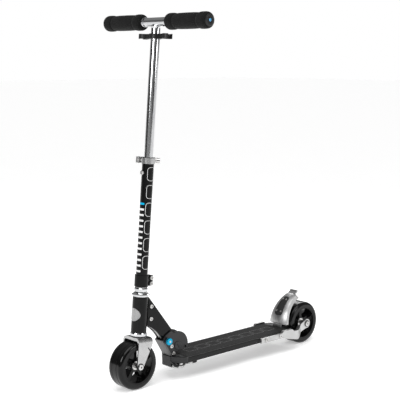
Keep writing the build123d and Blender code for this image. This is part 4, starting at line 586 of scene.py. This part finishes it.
def pins_in_circle(name, body, values):
    """Runs the tree with these inputs and keeps its result as a plain mesh on a body."""
    carrier = bpy.data.objects.new(f"{name}_carrier", bpy.data.meshes.new(f"{name}_carrier"))
    bpy.context.collection.objects.link(carrier)
    modifier = carrier.modifiers.new("pins", "NODES")
    modifier.node_group = circle_tree
    for item in circle_tree.interface.items_tree:
        if item.in_out == "INPUT" and item.name in values:
            modifier[item.identifier] = values[item.name]
    bpy.context.view_layer.update()
    evaluated = carrier.evaluated_get(bpy.context.evaluated_depsgraph_get())
    mesh = bpy.data.meshes.new_from_object(evaluated)
    bpy.data.objects.remove(carrier)
    made = bpy.data.objects.new(name, mesh)
    bpy.context.collection.objects.link(made)
    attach(made, body)
    print(name, "has", len(mesh.polygons), "faces")
    return made


# %% Knurled knob and end plugs
SIDEWAYS = (math.pi / 2, 0.0, 0.0)
PIN_RADIUS = 0.45 * MM
PIN_SIDES = 8
KNURL_COUNT = 36
KNURL_SINK = 0.15 * MM
KNURL_SETBACK = 1.0 * MM
TEETH_COUNT = 24
TEETH_CIRCLE = 7.0 * MM
TOOTH_LENGTH = 4.0 * MM
TOOTH_SETBACK = 0.75 * MM
knob_low, knob_high = (Vector(corner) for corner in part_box("lock_knob"))
knob_radius = (knob_high.x - knob_low.x) / 2
knob_length = 5.0 * MM
pins_in_circle("knob_knurl", "fold_lock", {
    "Count": KNURL_COUNT, "Circle Radius": knob_radius - KNURL_SINK, "Pin Radius": PIN_RADIUS,
    "Pin Length": knob_length, "Pin Sides": PIN_SIDES, "Lay Flat": (0.0, 0.0, 0.0),
    "Place": (middle_of("lock_knob").x, knob_high.y - knob_length / 2 - KNURL_SETBACK,
              middle_of("lock_knob").z),
    "Tilt": SIDEWAYS, "Finish": blue_anodised.material,
})
for side_name, way in (("left", 1.0), ("right", -1.0)):
    plug_low, plug_high = (Vector(corner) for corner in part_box(f"end_plug_{side_name}"))
    face = plug_high.y if way > 0 else plug_low.y
    pins_in_circle(f"plug_teeth_{side_name}", f"handle_{side_name}", {
        "Count": TEETH_COUNT, "Circle Radius": TEETH_CIRCLE, "Pin Radius": PIN_RADIUS,
        "Pin Length": TOOTH_LENGTH, "Pin Sides": PIN_SIDES, "Lay Flat": (0.0, math.pi / 2, 0.0),
        "Place": (bar_middle.x, face - way * TOOTH_SETBACK, bar_middle.z),
        "Tilt": SIDEWAYS, "Finish": moulded.material,
    })

# %% [markdown]
# ## Turned trims
# A few small round trims are turned from a profile about the Y axis: the blue cap in each end plug
# and the dark rubber ring behind each axle head. The helper that turned the grips serves both.

# %% Turned trims
CAP_RADIUS = 3.8 * MM
CAP_ROOT = 0.5 * MM
CAP_RISE = 0.7 * MM
CAP_STEPS = 6
CAP_SIDES = 32
blue_enamel = surface("blue enamel", tone(1.0, (0.03, 0.36, 0.68)), tone(1.0, (0.02, 0.3, 0.6)), 0.2,
                      900.0, coat=0.8, bump=0.03)
for side_name, way in (("left", 1.0), ("right", -1.0)):
    plug_low, plug_high = (Vector(corner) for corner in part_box(f"end_plug_{side_name}"))
    face = plug_high.y if way > 0 else plug_low.y
    cap = [(-way * CAP_ROOT, 0.0), (-way * CAP_ROOT, CAP_RADIUS)]
    for step in range(CAP_STEPS + 1):
        angle = math.pi / 2 * step / CAP_STEPS
        cap.append((way * CAP_RISE * math.sin(angle), CAP_RADIUS * math.cos(angle)))
    turn_about(f"plug_cap_{side_name}", Vector((bar_middle.x, face, bar_middle.z)), cap, CAP_SIDES,
               blue_enamel, f"handle_{side_name}", closed=False)

RING_STEPS = 12
RING_SIDES = 48
RING_RADIUS = 0.9 * MM
RING_MARGIN = 1.0 * MM
HEAD_THICKNESS = 3.5 * MM
for node_name, body in (("front_axle", "steerer"), ("rear_axle", "deck")):
    axle_low, axle_high = (Vector(corner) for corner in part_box(node_name))
    axle_middle = middle_of(node_name)
    head_radius = (axle_high.z - axle_low.z) / 2
    for label, face, way in (("left", axle_high.y, 1.0), ("right", axle_low.y, -1.0)):
        seat = face - way * HEAD_THICKNESS
        profile = []
        for step in range(RING_STEPS):
            angle = 2 * math.pi * step / RING_STEPS
            profile.append((way * RING_RADIUS * (1.0 + math.cos(angle)),
                            head_radius + RING_MARGIN + RING_RADIUS * math.sin(angle)))
        turn_about(f"{node_name}_ring_{label}", Vector((axle_middle.x, seat, axle_middle.z)),
                   profile, RING_SIDES, rubber, body, closed=True)
print("turned trims done")

# %% [markdown]
# ## Studio
# The product stands on a plain pale floor in soft, even light. Polished tube only looks like metal
# when it has something dark to mirror, so the sky the tubes see has soft dark strips in it, while
# the camera itself sees a plain pale field.

# %% Floor
floor_mesh = bpy.data.meshes.new("studio_floor")
floor_reach = 30.0
corners = [(-floor_reach, -floor_reach), (floor_reach, -floor_reach), (floor_reach, floor_reach),
           (-floor_reach, floor_reach)]
floor_mesh.from_pydata([(x, y, 0.0) for x, y in corners], [], [(0, 1, 2, 3)])
floor = bpy.data.objects.new("studio_floor", floor_mesh)
bpy.context.collection.objects.link(floor)
paper = Finish("pale paper")
paper.shader.inputs["Roughness"].default_value = 0.9
paper.shader.inputs["Emission Color"].default_value = tone(1.0)
paper.shader.inputs["Emission Strength"].default_value = 0.42
paper.shader.inputs["Specular IOR Level"].default_value = 0.1
paper_noise = paper.noise(paper.coords.outputs["Object"], 3.0)
paper.link(paper.mix(paper.spread(paper_noise, 0.0, 1.0), tone(0.93), tone(0.91)),
           paper.shader.inputs["Base Color"])
floor_mesh.materials.append(paper.material)

# %% World and lights
STRIP_COUNT = 3.0
DARK_STRIP = 0.02
PALE_STRIP = 0.34
world = bpy.data.worlds.new("studio")
bpy.context.scene.world = world
world.use_nodes = True
sky = world.node_tree
sky.nodes.clear()
sky_out = sky.nodes.new("ShaderNodeOutputWorld")
seen = sky.nodes.new("ShaderNodeBackground")
mirrored = sky.nodes.new("ShaderNodeBackground")
either = sky.nodes.new("ShaderNodeMixShader")
ray = sky.nodes.new("ShaderNodeLightPath")
direction = sky.nodes.new("ShaderNodeTexCoord")
split = sky.nodes.new("ShaderNodeSeparateXYZ")
heading = sky.nodes.new("ShaderNodeMath")
heading.operation = "ARCTAN2"
strips = sky.nodes.new("ShaderNodeMath")
strips.operation = "MULTIPLY"
strips.inputs[1].default_value = STRIP_COUNT
wave = sky.nodes.new("ShaderNodeMath")
wave.operation = "SINE"
ramp = sky.nodes.new("ShaderNodeMapRange")
ramp.inputs["From Min"].default_value = -0.9
ramp.inputs["From Max"].default_value = 0.3
ramp.inputs["To Min"].default_value = DARK_STRIP
ramp.inputs["To Max"].default_value = PALE_STRIP
seen.inputs["Color"].default_value = tone(1.0)
seen.inputs["Strength"].default_value = 1.0
sky.links.new(direction.outputs["Generated"], split.inputs[0])
sky.links.new(split.outputs["Y"], heading.inputs[0])
sky.links.new(split.outputs["X"], heading.inputs[1])
sky.links.new(heading.outputs[0], strips.inputs[0])
sky.links.new(strips.outputs[0], wave.inputs[0])
sky.links.new(wave.outputs[0], ramp.inputs["Value"])
sky.links.new(ramp.outputs[0], mirrored.inputs["Strength"])
sky.links.new(ray.outputs["Is Camera Ray"], either.inputs[0])
sky.links.new(mirrored.outputs[0], either.inputs[1])
sky.links.new(seen.outputs[0], either.inputs[2])
sky.links.new(either.outputs[0], sky_out.inputs["Surface"])


def soft_light(name, place, target, size, power):
    """Square soft light at a place, aimed at a target."""
    light = bpy.data.lights.new(name, "AREA")
    light.size = size
    light.energy = power
    lamp = bpy.data.objects.new(name, light)
    lamp.location = place
    lamp.rotation_euler = (Vector(target) - Vector(place)).to_track_quat("-Z", "Y").to_euler()
    bpy.context.collection.objects.link(lamp)
    return lamp


aim_point = (0.05, 0.0, 0.35)
soft_light("key", (2.6, 0.4, 1.5), aim_point, 1.0, 26.0)
soft_light("fill", (-0.9, 2.7, 1.3), aim_point, 1.0, 16.0)
soft_light("rim", (-2.2, -1.6, 1.8), aim_point, 1.4, 24.0)
daylight = bpy.data.lights.new("daylight", "SUN")
daylight.energy = 1.5
daylight.angle = math.radians(50.0)
daylight_lamp = bpy.data.objects.new("daylight", daylight)
daylight_lamp.rotation_euler = Euler((math.radians(-14.0), math.radians(12.0), 0.0))
bpy.context.collection.objects.link(daylight_lamp)

# %% Camera
camera_data = bpy.data.cameras.new("camera")
camera = bpy.data.objects.new("camera", camera_data)
bpy.context.collection.objects.link(camera)
camera_data.sensor_width = 36.0
camera_data.lens = 91.13
camera_data.clip_end = 100.0
camera.location = (1.86355, 1.90590, 0.81844)
look_at = Vector((0.07942, 0.0, 0.45386))
camera.rotation_euler = (look_at - camera.location).to_track_quat("-Z", "Y").to_euler()
bpy.context.scene.camera = camera
bpy.context.scene.view_settings.view_transform = "Standard"
bpy.context.scene.view_settings.look = "None"
